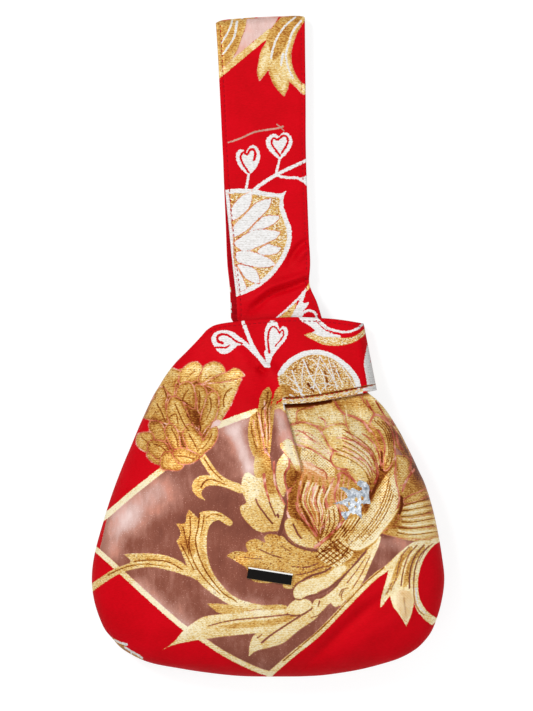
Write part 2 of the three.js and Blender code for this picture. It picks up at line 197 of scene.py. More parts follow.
bandFolds = {
    "dimple": {"path": [(257, 368), (261, 370.5), (265, 373)], "height": -2.6, "width": 2.6},
    "dimpleLip": {"path": [(254.5, 371), (256, 366), (261, 363.6), (266.5, 365.5), (269.5, 371)],
                  "height": 1.3, "width": 2.6},
    "dimpleTail": {"path": [(248, 360), (256, 365), (262, 371), (266, 382)], "height": -1.0, "width": 4},
    "dimpleFold": {"path": [(264, 364), (272, 368.5), (278.6, 379), (283, 396)], "height": 1.6,
                   "width": 4.2},
    "bandRoll": {"path": [(286, 384), (310, 388), (340, 384), (370, 376)], "height": 0.7, "width": 7},
    "shoulderFold": {"path": [(214, 342), (236, 352), (256, 366)], "height": 0.9, "width": 6},
}
strapFolds = {
    "crease": {"path": [(312, 279), (292, 287), (270, 295), (252, 310)], "height": -4.2, "width": 3.8},
    "foldUpper": {"path": [(312, 239), (303, 243), (295, 251), (288, 264)], "height": -3.0, "width": 3.4},
    "foldUpperRidge": {"path": [(312, 248), (304, 252), (297, 261)], "height": 3.0, "width": 3.8},
    "sag": {"path": [(238, 318), (262, 306), (286, 299), (304, 294)], "height": -2.2, "width": 7},
    "creaseRidge": {"path": [(312, 272), (292, 279), (270, 287), (250, 301)], "height": 3.6, "width": 4.4},
    "softCrease": {"path": [(306, 241), (300, 252), (293, 265)], "height": -0.9, "width": 4},
    "softCreaseTwo": {"path": [(228, 214), (240, 222), (252, 226)], "height": 0.35, "width": 6},
    "middleWave": {"path": [(220, 120), (262, 126), (305, 116)], "height": -0.5, "width": 26},
    "upperWave": {"path": [(218, 60), (262, 66), (305, 56)], "height": 0.35, "width": 20},
}


def pressed(x, y, table):
    total = np.zeros_like(x)
    for fold in table.values():
        path = curveThrough(fold["path"], step=2)
        reach = 2.6 * fold["width"]
        near = np.flatnonzero((x > path[:, 0].min() - reach) & (x < path[:, 0].max() + reach)
                              & (y > path[:, 1].min() - reach) & (y < path[:, 1].max() + reach))
        if not len(near):
            continue
        spots = np.stack([x[near], y[near]], 1)
        gaps = np.linalg.norm(spots[:, None] - path[None], axis=2)
        nearest = gaps.argmin(1)
        along = nearest / (len(path) - 1)
        taper = np.sin(np.pi * np.clip(along * 0.86 + 0.07, 0, 1)) ** 0.7
        total[near] += fold["height"] * taper * np.exp(-(gaps.min(1) / fold["width"]) ** 2)
    return total


def waves(x, y, size, seed):
    # slow unevenness, as a sum of sine waves in fixed directions
    pick = np.random.default_rng(seed)
    total = np.zeros_like(x)
    for _ in range(7):
        turn, phase, scale = pick.uniform(0, 2 * math.pi, 2).tolist() + [pick.uniform(0.7, 1.5)]
        total += np.sin((x * math.cos(turn) + y * math.sin(turn)) * 2 * math.pi / (size * scale) + phase)
    return total / 7


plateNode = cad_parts["name_plate"]
plateCorners = np.array([v.co for v in plateNode.data.vertices], float)
plateTop = plateCorners[plateCorners[:, 2] > np.median(plateCorners[:, 2])]
plateCentre = plateTop.mean(0)
plateSlope = np.linalg.lstsq(np.c_[plateTop[:, :2] - plateCentre[:2], np.ones(len(plateTop))],
                             plateTop[:, 2], rcond=None)[0]
# across the plate is the way in which its outline is narrowest
turns = np.radians(np.arange(-30, 30, 0.1))
acrossWays = np.stack([-np.sin(turns), np.cos(turns)], 1)
plateAcross = acrossWays[np.ptp(plateCorners[:, :2] @ acrossWays.T, axis=0).argmin()]
plateRim = float((plateCorners[:, :2] @ plateAcross).max())
plateSeat = {"drop": 1.25, "reach": (17, 34)}


def seatUnderPlate(x, y, height):
    planX, planY = toPlan(x, y)
    level = (plateSlope[0] * (planX - plateCentre[0]) + plateSlope[1] * (planY - plateCentre[1])
             + plateSlope[2]) * 1000 - plateSeat["drop"]
    centre = toPixels(plateCentre[None])[0]
    away = np.hypot((x - centre[0]) * 0.75, (y - centre[1]) * 1.3)
    share = 1 - ease(*plateSeat["reach"], away)
    return height + (level - height) * share


def turned(height, middle, distance, reach):
    across = 1 - np.clip(distance / reach, 0, 1)
    return middle + (height - middle) * np.sqrt(np.maximum(0, 1 - across ** 2))


def heightOf(x, y, handle, face):
    seam = seamOf(y)
    lip = seam + face * 0.1
    full = crown(x, y)
    if face > 0:
        height = lip + riseOf(y) * full
        body = ease(bandY, 345, y)
        height += full * (pressed(x, y, folds) + 0.9 * waves(x, y, 90, 3) * ease(400, 470, y))
        if handle == "short":
            under = hiddenAt(y)
            height += cloth["lap"] * ease(mouthEndY, 461, y) * ease(under - 36, under - 4, x)
            height += pressed(x, y, bandFolds) * body
        else:
            height += pressed(x, y, strapFolds) * (1 - body)
        height = seatUnderPlate(x, y, height)
    else:
        flat = np.clip(cloth["backPress"] * full, 0, 1)
        height = lip * (1 - flat) ** 1.3
        if handle == "long":
            beside = 1 - ease(mouthAt(y) + 4, mouthAt(y) + 39, x)
            band = ease(422, 404, y)
            height += (cloth["lap"] * ease(mouthEndY, 461, y) * np.maximum(beside, band)
                       * ease(268, 307, y))
    if handle == "short":
        endX = np.interp(y, [bandFold["top"][1], bandFold["bottom"][1]],
                         [bandFold["top"][0], bandFold["bottom"][0]])
        folded = turned(height, lip, endX - x, bandFold["reach"])
        return np.where(y < 425, folded, height)
    topY = np.interp(x, [215, 305], [19.5, 14.5])
    return turned(height, lip, y - topY, strapFold["reach"])


def insideOf(points, loop):
    # even-odd test of many points against one closed outline
    inside = np.zeros(len(points), bool)
    x, y = points[:, 0], points[:, 1]
    for (ax, ay), (bx, by) in zip(loop, np.roll(loop, -1, axis=0)):
        if ay == by:
            continue
        crosses = (ay > y) != (by > y)
        inside ^= crosses & (x < (bx - ax) * (y - ay) / (by - ay) + ax)
    return inside


def nearestGap(points, line):
    tree = kdtree.KDTree(len(line))
    for i, (x, y) in enumerate(line):
        tree.insert((x, y, 0), i)
    tree.balance()
    return np.array([tree.find((x, y, 0))[2] for x, y in points])


# The woven pattern, drawn as shapes in the photograph's pixels and laid one over the other.
# A group's lines give a path with its width at both ends; its tone runs from 0, bronze, to 1, pale.
pattern = {
    "field": {"kind": "mauve", "tone": 0.3, "loops": {
        "diamond": [(108, 514, 1), (135, 491), (163, 469), (192, 446), (220, 424), (255, 410),
                    (286, 402, 1), (400, 470, 1), (420, 541, 1), (409, 548), (399, 556), (388, 567),
                    (376, 576), (359, 592), (338, 614), (316, 635), (292, 655), (271, 673, 1), (249, 666.5),
                    (229, 656.6), (211, 645.8), (185, 628), (170, 616), (150, 598), (130, 581),
                    (99, 552, 1)]}},
    "fieldBorder": {"kind": "gold", "tone": 0.86, "lines": {
        "topLeft": ([(98, 522), (108, 514), (135, 491), (163, 469)], 5.8, 5.8),
        "topRight": ([(214, 427), (236, 418.5), (256, 411.5)], 6.6, 6.0),
        "bottomLeft": ([(92, 546), (108, 560), (130, 580), (150, 598.3), (170, 616.1), (184.6, 628),
                        (202.4, 639.3), (219.2, 650.7), (239, 661.6), (258.7, 670.5),
                        (271, 674)], 5.2, 5.2),
        "bottomRight": ([(269, 675), (292, 655), (316.5, 635.3), (338, 613.7), (359.6, 591.3),
                         (376.2, 575.6), (387, 568.1), (400, 556)], 5.6, 5.8)}},
    "fieldBorderLine": {"kind": "rust", "tone": 0.5, "lines": {
        "right": ([(283, 661), (304, 643.4), (325, 625), (348.5, 600.3), (366, 582.3),
                   (384, 567.5)], 0.9, 0.9)}},
    "edgeGlimpse": {"kind": "gold", "tone": 0.22, "fleckAndGlint": 0.6, "loops": {
        "roll": [(111, 636.6, 1), (119, 641), (127.4, 644.1, 1), (125.3, 646.3, 1), (131.1, 650.2),
                 (138.3, 654.1), (142.4, 657), (143, 662, 1), (133, 660), (122, 653), (111, 643)]}},
    "edgeGlimpseWhite": {"kind": "white", "tone": 0.7, "lines": {
        "upper": ([(114.5, 640), (120, 642.6), (126.5, 644.6)], 1.4, 2.4),
        "lower": ([(125.3, 647.2), (131.1, 651.2), (138.3, 655.2), (142, 658)], 1.6, 2.0),
        "bar": ([(131.2, 651.6), (131.4, 655.4)], 1.4, 1.2)}},
    "branch": {"kind": "gold", "tone": 0.72, "fleckAndGlint": 0.5, "loops": {
        "main": [(200, 512.5), (199, 519), (196, 516), (189, 509.5, 1), (186.5, 515), (185, 523),
                 (175.7, 523.3, 1), (180, 530), (180, 536), (176.5, 541, 1), (180, 549), (184, 558),
                 (188, 568), (199.4, 582.5), (209.3, 591.4), (219.2, 598.3), (234, 607.2), (246, 609),
                 (258, 606), (248.9, 602.3), (239, 599), (229.1, 593), (221.2, 584), (214.3, 575),
                 (208.3, 560), (206.7, 543), (208.3, 529), (213, 522), (219, 520), (225, 524), (230, 526),
                 (233, 522.5), (227, 516.7), (215, 511)],
        "left": [(88, 588, 1), (94, 582), (114, 569), (130.5, 562), (123.5, 554, 1), (139, 553.5),
                 (159.9, 554.3), (175, 559), (186.6, 566.2), (198, 580), (189.5, 576.6), (169.8, 570.6),
                 (150, 567), (128, 570.5), (110, 579), (92, 592, 1)]}},
    "branchDeep": {"kind": "gold", "tone": 0.52, "fleckAndGlint": 0.6, "loops": {
        "bronze": [(189, 509.5, 1), (193, 516), (198.5, 519), (197, 528), (194.5, 537), (196.5, 549),
                   (192, 556), (184, 556), (180, 549), (176.5, 541, 1), (180, 536), (180, 530),
                   (175.7, 523.3, 1), (185, 523), (186.5, 515)],
        "under": [(206, 526), (203.5, 540), (205, 556), (211, 573), (224, 590), (236, 600), (228, 596),
                  (213, 582), (203, 565), (199.5, 548), (201, 534)],
        "upper": [(126, 555), (142, 554.6), (160, 556), (176, 561), (184, 568), (170, 563), (152, 560),
                  (138, 561)]}},
    "branchLines": {"kind": "rust", "tone": 0.3, "lines": {
        "a": ([(199.6, 514), (198, 528), (195.5, 540), (199, 556), (207, 573), (222, 592),
               (236, 601)], 1.1, 0.8),
        "b": ([(190, 517), (190.5, 530), (189, 545), (194, 562), (204, 578), (220, 594)], 0.9, 0.7),
        "c": ([(183, 527), (186, 540), (189, 554)], 0.9, 0.6),
        "d": ([(181, 544), (187, 556), (194, 570)], 0.8, 0.6),
        "e": ([(204, 516), (203, 524), (200.5, 536)], 0.9, 0.6),
        "f": ([(222, 516), (213, 514), (206, 518)], 0.8, 0.5),
        "g": ([(134, 561.5), (150, 560), (168, 562), (183, 570)], 0.9, 0.8),
        "h": ([(108, 575), (126, 567), (146, 564), (170, 567)], 0.8, 0.5)}},
    "stem": {"kind": "gold", "tone": 0.66, "fleckAndGlint": 0.4, "lines": {
        "stalk": ([(202, 456), (208, 465), (215, 475), (226, 483), (240, 489)], 7.5, 8.5)},
        "loops": {
        "hook": [(240, 484), (222, 479), (206, 475), (195, 479), (192, 489), (198, 497), (205, 500, 1),
                 (201.5, 494), (203.5, 489), (208, 486), (220, 486), (240, 492)]}},
    "stemLines": {"kind": "rust", "tone": 0.4, "lines": {
        "a": ([(204, 458), (212, 470), (222, 480)], 1.1, 0.7),
        "b": ([(201, 487), (206, 480.5), (214, 480), (226, 485)], 1.2, 0.7)}},
    "leftFlowerGround": {"kind": "gold", "tone": -0.02, "fleckAndGlint": 0.5, "loops": {
        "whole": [(148, 396, 1), (172, 372), (196, 368), (222, 372), (232, 384), (222, 410), (212, 438),
                  (196, 456), (176, 462), (158, 452), (152, 432), (148, 416)]}},
    "leftFlower": {"kind": "gold", "tone": 0.37, "fleckAndGlint": 0.6, "rim": 1.0, "loops": {
        "topLeft": [(174.1, 368.9), (181, 373), (175.3, 384.4), (173, 395.9), (165, 390.2), (158, 391),
                    (148, 380), (160, 362)],
        "topOne": [(179.9, 374), (183.3, 368.4), (189.1, 363.8), (195.9, 362.1), (200.5, 364.9),
                   (202.3, 370.7), (198.2, 378.7), (186.8, 383.3), (179.9, 383.3)],
        "topTwo": [(202.8, 369.5), (206.3, 364.9), (213.2, 362.1), (220, 363.8), (224.1, 368.4),
                   (224.6, 374.1), (220, 377.6), (206.3, 382.1), (200.5, 383.3), (198.8, 378.7)],
        "rightBig": [(204, 383.3), (222, 379), (240, 377.7), (239, 384.4), (235, 393.6), (230.4, 405.1),
                     (224.6, 414.3), (220, 421.2), (216.6, 418.9), (218.9, 407.4), (218.9, 395.9),
                     (212, 387.9)],
        "tip": [(204, 383.3, 1), (217.8, 376), (228.1, 371.8), (233.8, 368.4), (239.6, 370.1),
                (244.2, 375.3, 1), (238.4, 378.1), (226.9, 381), (217.8, 382.1)],
        "leftOuter": [(146, 412), (146.6, 405), (153.5, 398), (155.8, 390), (162.7, 387.3), (167.2, 394),
                      (165, 405), (167.2, 414.3), (168.4, 423.5), (160.4, 421.2), (151.2, 420),
                      (142, 416.6)],
        "centreTop": [(176.4, 395.9), (177.6, 389), (181, 384.4), (186.8, 382.1), (191.9, 384.4),
                      (194.8, 393.6), (194.8, 405.1), (193.1, 408.5), (183.3, 401.7), (175.3, 397.1)],
        "centreRight": [(194.8, 386.7), (200.5, 385), (205.1, 389), (206.8, 395.9), (204, 405.1),
                        (201.7, 414.3), (198.2, 409.7), (197.1, 398.2)],
        "rightInner": [(207.4, 395.9), (212, 391.9), (216.6, 393), (218.3, 400.5), (217.8, 408.5),
                       (214.3, 418.9), (206.3, 428.1), (201.7, 435), (199.4, 430.4), (201.7, 414.3),
                       (205.1, 405.1)],
        "centreLeft": [(168.4, 418.9), (167.2, 409.7), (169, 400.5), (174.1, 397.1), (181, 400.5),
                       (186.8, 412), (190.2, 421.2), (197.1, 429.2), (200.5, 435), (189.1, 432),
                       (178, 430)],
        "sideLobe": [(148.9, 425.8), (151.2, 421.2), (159.2, 422.3), (163.8, 428.1), (166.1, 437.2),
                     (162.7, 440.7), (153.5, 439.5), (151.2, 433.8)],
        "farLobe": [(136.3, 440.7), (137.4, 435), (143.1, 432.7), (151.2, 432.7), (153.5, 439.5),
                    (147.7, 443), (148.9, 448.7), (146.6, 451.6), (140.8, 448.7), (137.4, 445.3)],
        "lowLobeTwo": [(147.2, 453.3), (153.5, 451), (161.5, 460.2), (159.2, 464.2), (153.5, 462.5),
                       (148.3, 457.9)],
        "lowLobe": [(147.7, 445.3), (150, 441.3), (158.1, 440.7), (165, 443), (168.4, 447.6),
                    (171.8, 456.8), (167.2, 460.2), (159.2, 460.2), (148.9, 451)],
        "innerLobe": [(165, 430.4), (169.5, 423.5), (175.3, 428.1), (178.7, 436.1), (179.9, 445.3),
                      (181, 448.7), (175.3, 449.9), (170.7, 445.3), (167.2, 437.2)],
        "bottom": [(160.4, 463.6), (163.8, 453.3), (171.8, 453.3), (178.7, 462.5), (183.3, 464.8),
                   (181, 468.8), (175.3, 470.5), (168.4, 469.4), (162.7, 469.4)],
        "cup": [(183.3, 435), (185.6, 428.1), (189.1, 424.6), (194.8, 428.1), (200.5, 436.1),
                (202.8, 440.7), (207, 435), (212, 428.1), (217, 428), (217, 437.2), (212, 446.4),
                (205.1, 452.2), (199.4, 456.8), (190.2, 451), (186.8, 445.3)],
        "saucer": [(173, 454.5), (175.3, 449.9), (183.3, 448.7), (190.2, 451), (199.4, 456.8),
                   (194.8, 461.4), (189.1, 463.6), (181, 463.6), (176.4, 460.2)]}},
    "leftFlowerLines": {"kind": "rust", "tone": 0.45, "lines": {
        "heart": ([(195, 414), (199, 421), (200.5, 431)], 1.5, 0.9),
        "heartTwo": ([(187, 414), (192, 423), (199, 432)], 1.1, 0.8),
        "veinA": ([(188.5, 389.6), (184.5, 394.8), (182.7, 399.4)], 0.9, 0.7),
        "veinB": ([(176.4, 398), (186, 403), (193.6, 408)], 0.9, 0.7),
        "veinC": ([(175, 404), (179, 413), (184, 424), (189, 431)], 1.0, 0.8),
        "veinD": ([(171, 416), (176, 414), (178, 424)], 0.9, 0.7),
        "veinE": ([(232, 388), (226.5, 392), (223.5, 400), (224, 407)], 1.1, 0.8),
        "veinF": ([(163, 385), (165.5, 393), (168, 399)], 0.9, 0.8),
        "veinG": ([(157, 404), (162, 413), (165, 421)], 1.2, 0.8),
        "veinH": ([(171.5, 429), (176, 437), (178, 446)], 1.0, 0.8),
        "veinI": ([(181, 440), (183.5, 446), (185, 447)], 1.5, 1.0),
        "veinL": ([(210, 398), (211, 408), (206, 420)], 0.9, 0.6),
        "veinM": ([(199, 391), (200, 400), (199, 408)], 0.9, 0.6),
        "veinN": ([(154, 444), (162, 447), (168, 454)], 0.9, 0.6),
        "veinO": ([(178, 456), (187, 457), (194, 459)], 0.9, 0.6),
        "veinP": ([(141, 437), (146, 441), (150, 446)], 0.8, 0.6),
        "veinQ": ([(189, 434), (194, 443), (198, 451)], 0.9, 0.6),
        "veinR": ([(212, 434), (208, 442), (202, 449)], 0.9, 0.6),
        "veinJ": ([(190, 375), (195, 371)], 1.0, 0.7), "veinK": ([(206, 379), (212, 375)], 1.0, 0.7)}},
    "leftFlowerPink": {"kind": "mauve", "tone": 0.75, "loops": {
        "calyx": [(209.6, 429.2, 1), (213, 422.5), (217.5, 419.6), (220.5, 421), (219.5, 425.5),
                  (214.5, 426.5)]}},
    "lowLeaves": {"kind": "gold", "tone": 0.84, "fleckAndGlint": 0.25, "loops": {
        "first": [(161.9, 650.2, 1), (169.8, 645.2), (176, 639.5), (184, 630), (192.5, 623.5), (200, 618.5),
                  (209.3, 615.6), (234, 613), (263.7, 609.4), (285, 609), (306, 604), (318, 606),
                  (308, 620), (284, 629), (256.8, 633), (224.1, 636.4), (199.4, 639.8), (181, 643.2),
                  (170.8, 645.9)],
        "second": [(248.9, 656.2, 1), (249.3, 646.8), (251.8, 638.9), (257, 632.9), (275, 627), (297, 617),
                   (312, 607), (322.3, 597.1), (338, 583.9), (348, 573), (366, 552), (380, 536), (379, 545),
                   (372.1, 560.7), (362.1, 583), (355.5, 591.3), (345, 601), (339.7, 605.9), (331.4, 602.5),
                   (322.3, 611.2), (316, 618.5), (308.2, 624), (297.4, 631.5), (283.5, 642.8),
                   (268.6, 647.7), (256.8, 650.7)],
        "lobeFive": [(331.4, 602.1), (334.8, 597.1), (335.6, 589.7), (343, 588), (349.7, 590.5),
                     (345.5, 598), (339.7, 604.6), (335.6, 606.9), (332.3, 604.6)],
        "lobeFour": [(307.4, 612.9), (311.5, 610.4), (320.7, 609.2), (323.1, 611.2), (318.2, 615.4),
                     (311.5, 617), (308.2, 615.4)]}},
    "lowLeavesDeep": {"kind": "gold", "tone": 0.48, "fleckAndGlint": 0.35, "loops": {
        "blade": [(206.8, 603.3, 1), (213.3, 609), (220.5, 613.4), (239, 612.9), (258.7, 609.2),
                  (284.4, 609.2), (286.4, 605.7), (278.5, 604.7), (263.7, 605.2), (253.8, 603.6),
                  (243.9, 606.2), (224.1, 604.2)],
        "inside": [(219, 626.5, 1), (240, 622.7), (263.7, 620.3), (283, 617), (300, 612.5), (286, 621.8),
                   (263.7, 626.6), (240, 628), (226, 628)]}},
    "lowLeavesLines": {"kind": "mauve", "tone": 0.12, "lines": {
        "one": ([(208.3, 626), (219.2, 623), (234, 620.1), (263.7, 617.1), (288.4, 614.6)], 1.0, 1.5),
        "two": ([(261.7, 642.8), (268.6, 636.9), (278.5, 630), (293.3, 620.4), (307.4, 611.7),
                 (312.9, 607.2), (314, 602.1), (322.3, 597.1), (331.4, 590.5), (338.1, 583.9),
                 (344.7, 574.8), (355.5, 564), (366.3, 551.5)], 1.9, 1.1),
        "three": ([(257.5, 638), (262, 634.5)], 1.4, 0.8),
        "four": ([(352, 589), (361, 575), (370, 556)], 1.0, 0.8),
        "five": ([(347, 583), (357, 570), (366, 557)], 1.0, 0.7),
        "six": ([(339, 596), (342, 590), (348, 588)], 1.0, 0.8),
        "seven": ([(318, 601), (318, 606), (314.5, 608.5)], 1.8, 1.2),
        "eight": ([(323, 611), (317.5, 615.8), (311, 617.6)], 1.1, 0.8)}},
    "labelLeaf": {"kind": "gold", "tone": 0.46, "fleckAndGlint": 0.8, "loops": {
        "whole": [(226.1, 555.8, 1), (232, 552.3), (238.8, 551.1), (247.2, 551.8), (245.7, 544.9),
                  (248, 541.1), (255.6, 538.8), (261.7, 541.1), (265.6, 542.7), (264, 537.3),
                  (267.9, 534.2), (274, 534.2), (281.6, 535.8), (288.5, 539.6), (296.2, 544.9),
                  (304.6, 548), (313, 549.5), (319.9, 550.3), (324, 560), (332, 568), (322, 573.1),
                  (305, 581), (296, 585.5), (292.3, 588.4), (288.4, 588.9), (283.5, 587.4), (281.5, 582.5),
                  (270.6, 583), (258.7, 582.5), (250.8, 579), (246, 568), (240, 564), (233, 559.5)],
        "deep": [(300, 563, 1), (316, 556), (338, 552), (366, 545), (352, 566), (334, 583), (322, 590),
                 (314, 594), (307, 590), (312, 578), (322, 572)]}},
    "labelLeafLines": {"kind": "mauve", "tone": 0.1, "lines": {
        "a": ([(260.2, 549.5), (267.9, 553.4), (274.7, 555.7), (281.6, 558)], 1.2, 1.0),
        "b": ([(280.9, 546.5), (285.5, 548.8), (290.1, 551.1)], 1.0, 0.8),
        "c": ([(292.5, 566.5), (301.6, 567.3), (309.9, 566.5), (318.2, 563.1)], 1.1, 1.1),
        "d": ([(295.8, 574.8), (304.1, 573.9), (311.5, 571.4), (321.5, 567.3), (331.4, 564.8)], 1.1, 1.0),
        "e": ([(293.5, 592), (295.8, 586), (301.6, 581.4), (309.9, 576.4), (319.8, 573.1), (326.5, 570.6),
               (334.8, 564)], 2.6, 1.4),
        "f": ([(283, 534.5), (289.5, 542), (296.2, 546), (304.6, 549), (313, 550.6),
               (320, 550.6)], 1.8, 2.2),
        "g": ([(244, 557), (252, 558.5), (262, 559)], 0.8, 0.8)}},
    "lobes": {"kind": "gold", "tone": 0.88, "fleckAndGlint": 0.2, "loops": {
        "one": [(293.3, 591.3), (294.1, 597.1), (297.4, 598.8), (302.4, 598.4), (307.4, 595.5),
                (314, 593.8), (320.7, 590.5), (328.1, 587.2), (334.8, 581.4), (341.4, 574.8),
                (346.4, 568.9), (346.4, 566.5), (341.4, 565.6), (334.8, 568.1), (328.1, 573.9),
                (319.8, 577.2), (309.9, 578.9), (301.6, 582.2), (295.8, 586.4)],
        "two": [(286.7, 608.7), (289.1, 612.9), (293.3, 614.6), (299.9, 614.1), (304.9, 612.1),
                (309.9, 607.9), (311.5, 602.9), (307.4, 599.6), (301.6, 598.8), (295.8, 599.6),
                (290, 603.8)],
        "three": [(312.6, 604.5), (315.2, 599.8), (321.5, 598.6), (325, 600.3), (321.5, 607.9),
                  (316.5, 611), (313, 608.4)]}},
    "lobeLines": {"kind": "mauve", "tone": 0.1, "lines": {
        "a": ([(294, 598.6), (300, 599.6), (308, 596.6), (318, 594), (329, 588.6), (339, 579.5)], 1.2, 1.4),
        "b": ([(287, 614), (294, 615.8), (301, 615), (307, 612)], 1.2, 1.2),
        "c": ([(319.5, 601.5), (318, 606.5)], 1.5, 0.9),
        "d": ([(343, 591), (341, 596), (342.5, 600)], 1.0, 0.8)}},
    "tallLeaves": {"kind": "gold", "tone": 0.3, "fleckAndGlint": 0.35, "loops": {
        "left": [(269, 386.7, 1), (271.8, 393.5), (271.1, 401.4), (270.3, 409.2), (269.4, 422.3),
                 (268.1, 435.4), (266.8, 447), (259.6, 451.1), (254.4, 456.3), (251.8, 452.4),
                 (249.2, 444.5), (248.1, 435.4), (248.5, 424.9), (251.1, 415.8), (257, 411.8), (259, 404),
                 (260.3, 396.1), (264, 390)],
        "right": [(283.4, 383, 1), (281.5, 396.1), (277.2, 400.1), (276, 404), (274, 414.4), (272.7, 427.5),
                  (271.4, 440.6), (270.2, 452), (268.7, 459), (267, 446), (266.8, 436), (268.1, 424.9),
                  (271.2, 407.9), (273, 399.1), (277.9, 389.3)],
        "bud": [(274, 410), (277, 404.5), (281, 401.4), (286, 401), (287.6, 409), (288.5, 414),
                (285.1, 412.8), (280, 408.4)],
        "disc": [(290.2, 445.8), (288.5, 450), (284.5, 451), (280.6, 448.5), (280.4, 444), (284, 441.2),
                 (288.4, 441.6)],
        "low": [(261.6, 450.4), (266.5, 452.5), (270.5, 460), (272, 469), (274, 478), (277, 488),
                (281, 498), (270, 505), (262, 490), (255, 476), (253.8, 466), (255.6, 456)]}},
    "heartLeaf": {"kind": "gold", "tone": 0.72, "fleckAndGlint": 0.5, "loops": {
        "whole": [(242.6, 478.4), (244.9, 473.5), (248, 472.2), (251.8, 474.5), (254.8, 476.5),
                  (258, 478.5), (263, 478), (266, 488), (270, 494), (277, 494), (281.6, 500.5),
                  (284.7, 504), (285.5, 513.6), (282.4, 518.2), (280.1, 525), (278.6, 530.4), (274, 531.5),
                  (267.9, 531.5), (261.7, 532.3), (254.1, 528.9), (248, 523.5), (244.1, 518.9),
                  (241.1, 513.6), (240.3, 506.7), (246.4, 502.9), (244.9, 498.3), (241.8, 490.6),
                  (241.5, 482.2)],
        "centre": [(278.6, 460), (276.3, 467.7), (276.3, 479.1), (278.6, 489.1), (281.6, 495.2),
                   (283.9, 496.7), (286.2, 489.1), (284.7, 483), (283.9, 475.3), (286.2, 468.4),
                   (288.5, 466.1), (287.8, 459), (284, 453.5)],
        "loop": [(284.7, 522.8), (290.8, 516.6), (296.2, 518.9), (302.3, 522), (306.1, 527.3),
                 (311.5, 534.2), (316.1, 538.8), (318.4, 544.2), (318, 548), (311.5, 548), (303.8, 546.5),
                 (296.2, 543.4), (290.1, 538.8), (286.2, 532.7)]}},
    "heartLeafBronze": {"kind": "gold", "tone": 0.18, "fleckAndGlint": 0.7, "loops": {
        "side": [(290.6, 460.5), (300, 458), (302, 471.5), (298.5, 479.1), (294.3, 485.3), (290.8, 488.9),
                 (287.4, 486), (286.2, 479.1), (287, 472.2), (290.1, 467.7)]}},
    "heartLeafSlits": {"kind": "rose", "tone": 0.5, "lines": {
        "pinkA": ([(264, 474.5), (264.8, 483), (266.7, 492.1), (269.4, 500.4)], 3.2, 1.8),
        "pinkB": ([(274, 461.8), (274, 471.5), (274.7, 481.4), (277.8, 490.6), (281.6, 498.3),
                   (284.7, 504.4)], 2.2, 1.4),
        "pinkC": ([(289.6, 459.8), (288.5, 467.7), (285.5, 471.5), (284.3, 476.8), (285.5, 484.5),
                   (287, 491)], 1.9, 1.5),
        "pinkD": ([(301.5, 474), (297.6, 480), (293.9, 484.5), (292.3, 489)], 1.5, 1.5),
        "pinkE": ([(292.6, 488.5), (288.4, 492), (288.5, 502.9), (287.8, 513.6), (289.3, 517.4)], 3.4, 2.2),
        "pinkF": ([(266.3, 405), (265.2, 420), (262.5, 440)], 0.9, 1.4),
        "pinkG": ([(264.5, 449), (270, 457)], 1.6, 1.6)}},
    "heartLeafDark": {"kind": "mauve", "tone": 0.05, "lines": {
        "darkA": ([(255.6, 499), (258.7, 505.9), (263.3, 512), (267.9, 518.2), (272.4, 523.5)], 1.6, 1.5),
        "darkB": ([(269.4, 502.4), (274, 512.8), (275.5, 516.6)], 1.6, 1.2),
        "darkC": ([(293.1, 524.3), (296.2, 530.4), (298.5, 535), (301.5, 538.1)], 1.7, 1.8),
        "darkD": ([(285.5, 507), (284.4, 515), (282.6, 521), (282, 527), (279.5, 534)], 2.2, 3.6),
        "darkE": ([(277.5, 514.5), (278.5, 517)], 2.4, 2.0)}},
    "foldLobe": {"kind": "gold", "tone": 0.62, "fleckAndGlint": 0.5, "rim": 0.7, "loops": {
        "lobe": [(282, 448), (283.4, 441.6), (288, 439), (293, 443), (296.6, 454), (301, 472, 1),
                 (295.6, 469), (290, 459), (285, 453.4)]}},
    "leafNet": {"kind": "rose", "tone": 0.95, "lines": {
        "a": ([(258.6, 413), (260.6, 425), (263, 440), (265, 453)], 1.7, 1.1),
        "b": ([(264.4, 401), (264.8, 415), (266.4, 430), (267.4, 446)], 1.3, 0.8),
        "c": ([(253.6, 420), (255, 432), (257.8, 446)], 1.0, 0.7),
        "d": ([(269, 408), (269.6, 424), (269, 442)], 0.9, 0.7)}},
    "leafNetDark": {"kind": "rust", "tone": 0.4, "lines": {
        "a": ([(268, 392), (266.4, 403), (261.6, 411), (262.4, 424), (265, 438)], 0.9, 0.7),
        "b": ([(251, 424), (252.6, 436), (256.6, 449)], 0.8, 0.6),
        "c": ([(271, 398), (267.4, 412), (268.4, 428), (268, 446)], 0.8, 0.6),
        "d": ([(256.6, 412), (257.6, 426), (260.6, 442)], 0.8, 0.6)}},
    "rightCluster": {"kind": "gold", "tone": 0.88, "fleckAndGlint": 0.3, "loops": {
        "leaves": [(418, 541, 1), (412.5, 542.5), (402.5, 550), (395, 557), (390, 565), (387, 577),
                   (381.3, 597), (380.4, 608.4, 1), (390, 595.6, 1), (393, 606), (398.8, 613.8),
                   (406.4, 626.4, 1), (412, 613, 1), (414, 600), (413, 585), (414.5, 570), (422, 554),
                   (432, 543), (430, 540)],
        "ring": [(448, 536, 1), (432, 539), (424, 546), (417, 558), (413.4, 572), (412.8, 588),
                 (413.8, 600), (416.5, 610), (423.8, 618.8), (432, 625.4, 1), (440, 618), (436.3, 617.6, 1),
                 (430, 613.6), (424.6, 608), (420, 599), (418, 587.5), (418.8, 575), (422.5, 562),
                 (429, 551), (438, 542.6), (450, 539, 1)]}},
    "rightClusterDeep": {"kind": "gold", "tone": 0.36, "fleckAndGlint": 0.6, "loops": {
        "left": [(411, 546), (401, 555), (396, 566), (391, 580), (387, 594, 1), (394, 585), (400, 572),
                 (404, 560), (412, 551)],
        "centre": [(424, 545), (415, 553), (408, 564), (404, 578), (403, 588, 1), (408, 584), (412, 572),
                   (416, 560), (424, 550)]}},
    "rightClusterNet": {"kind": "gold", "tone": 0.86, "gauze": 1.0, "warm": 0.25, "loops": {
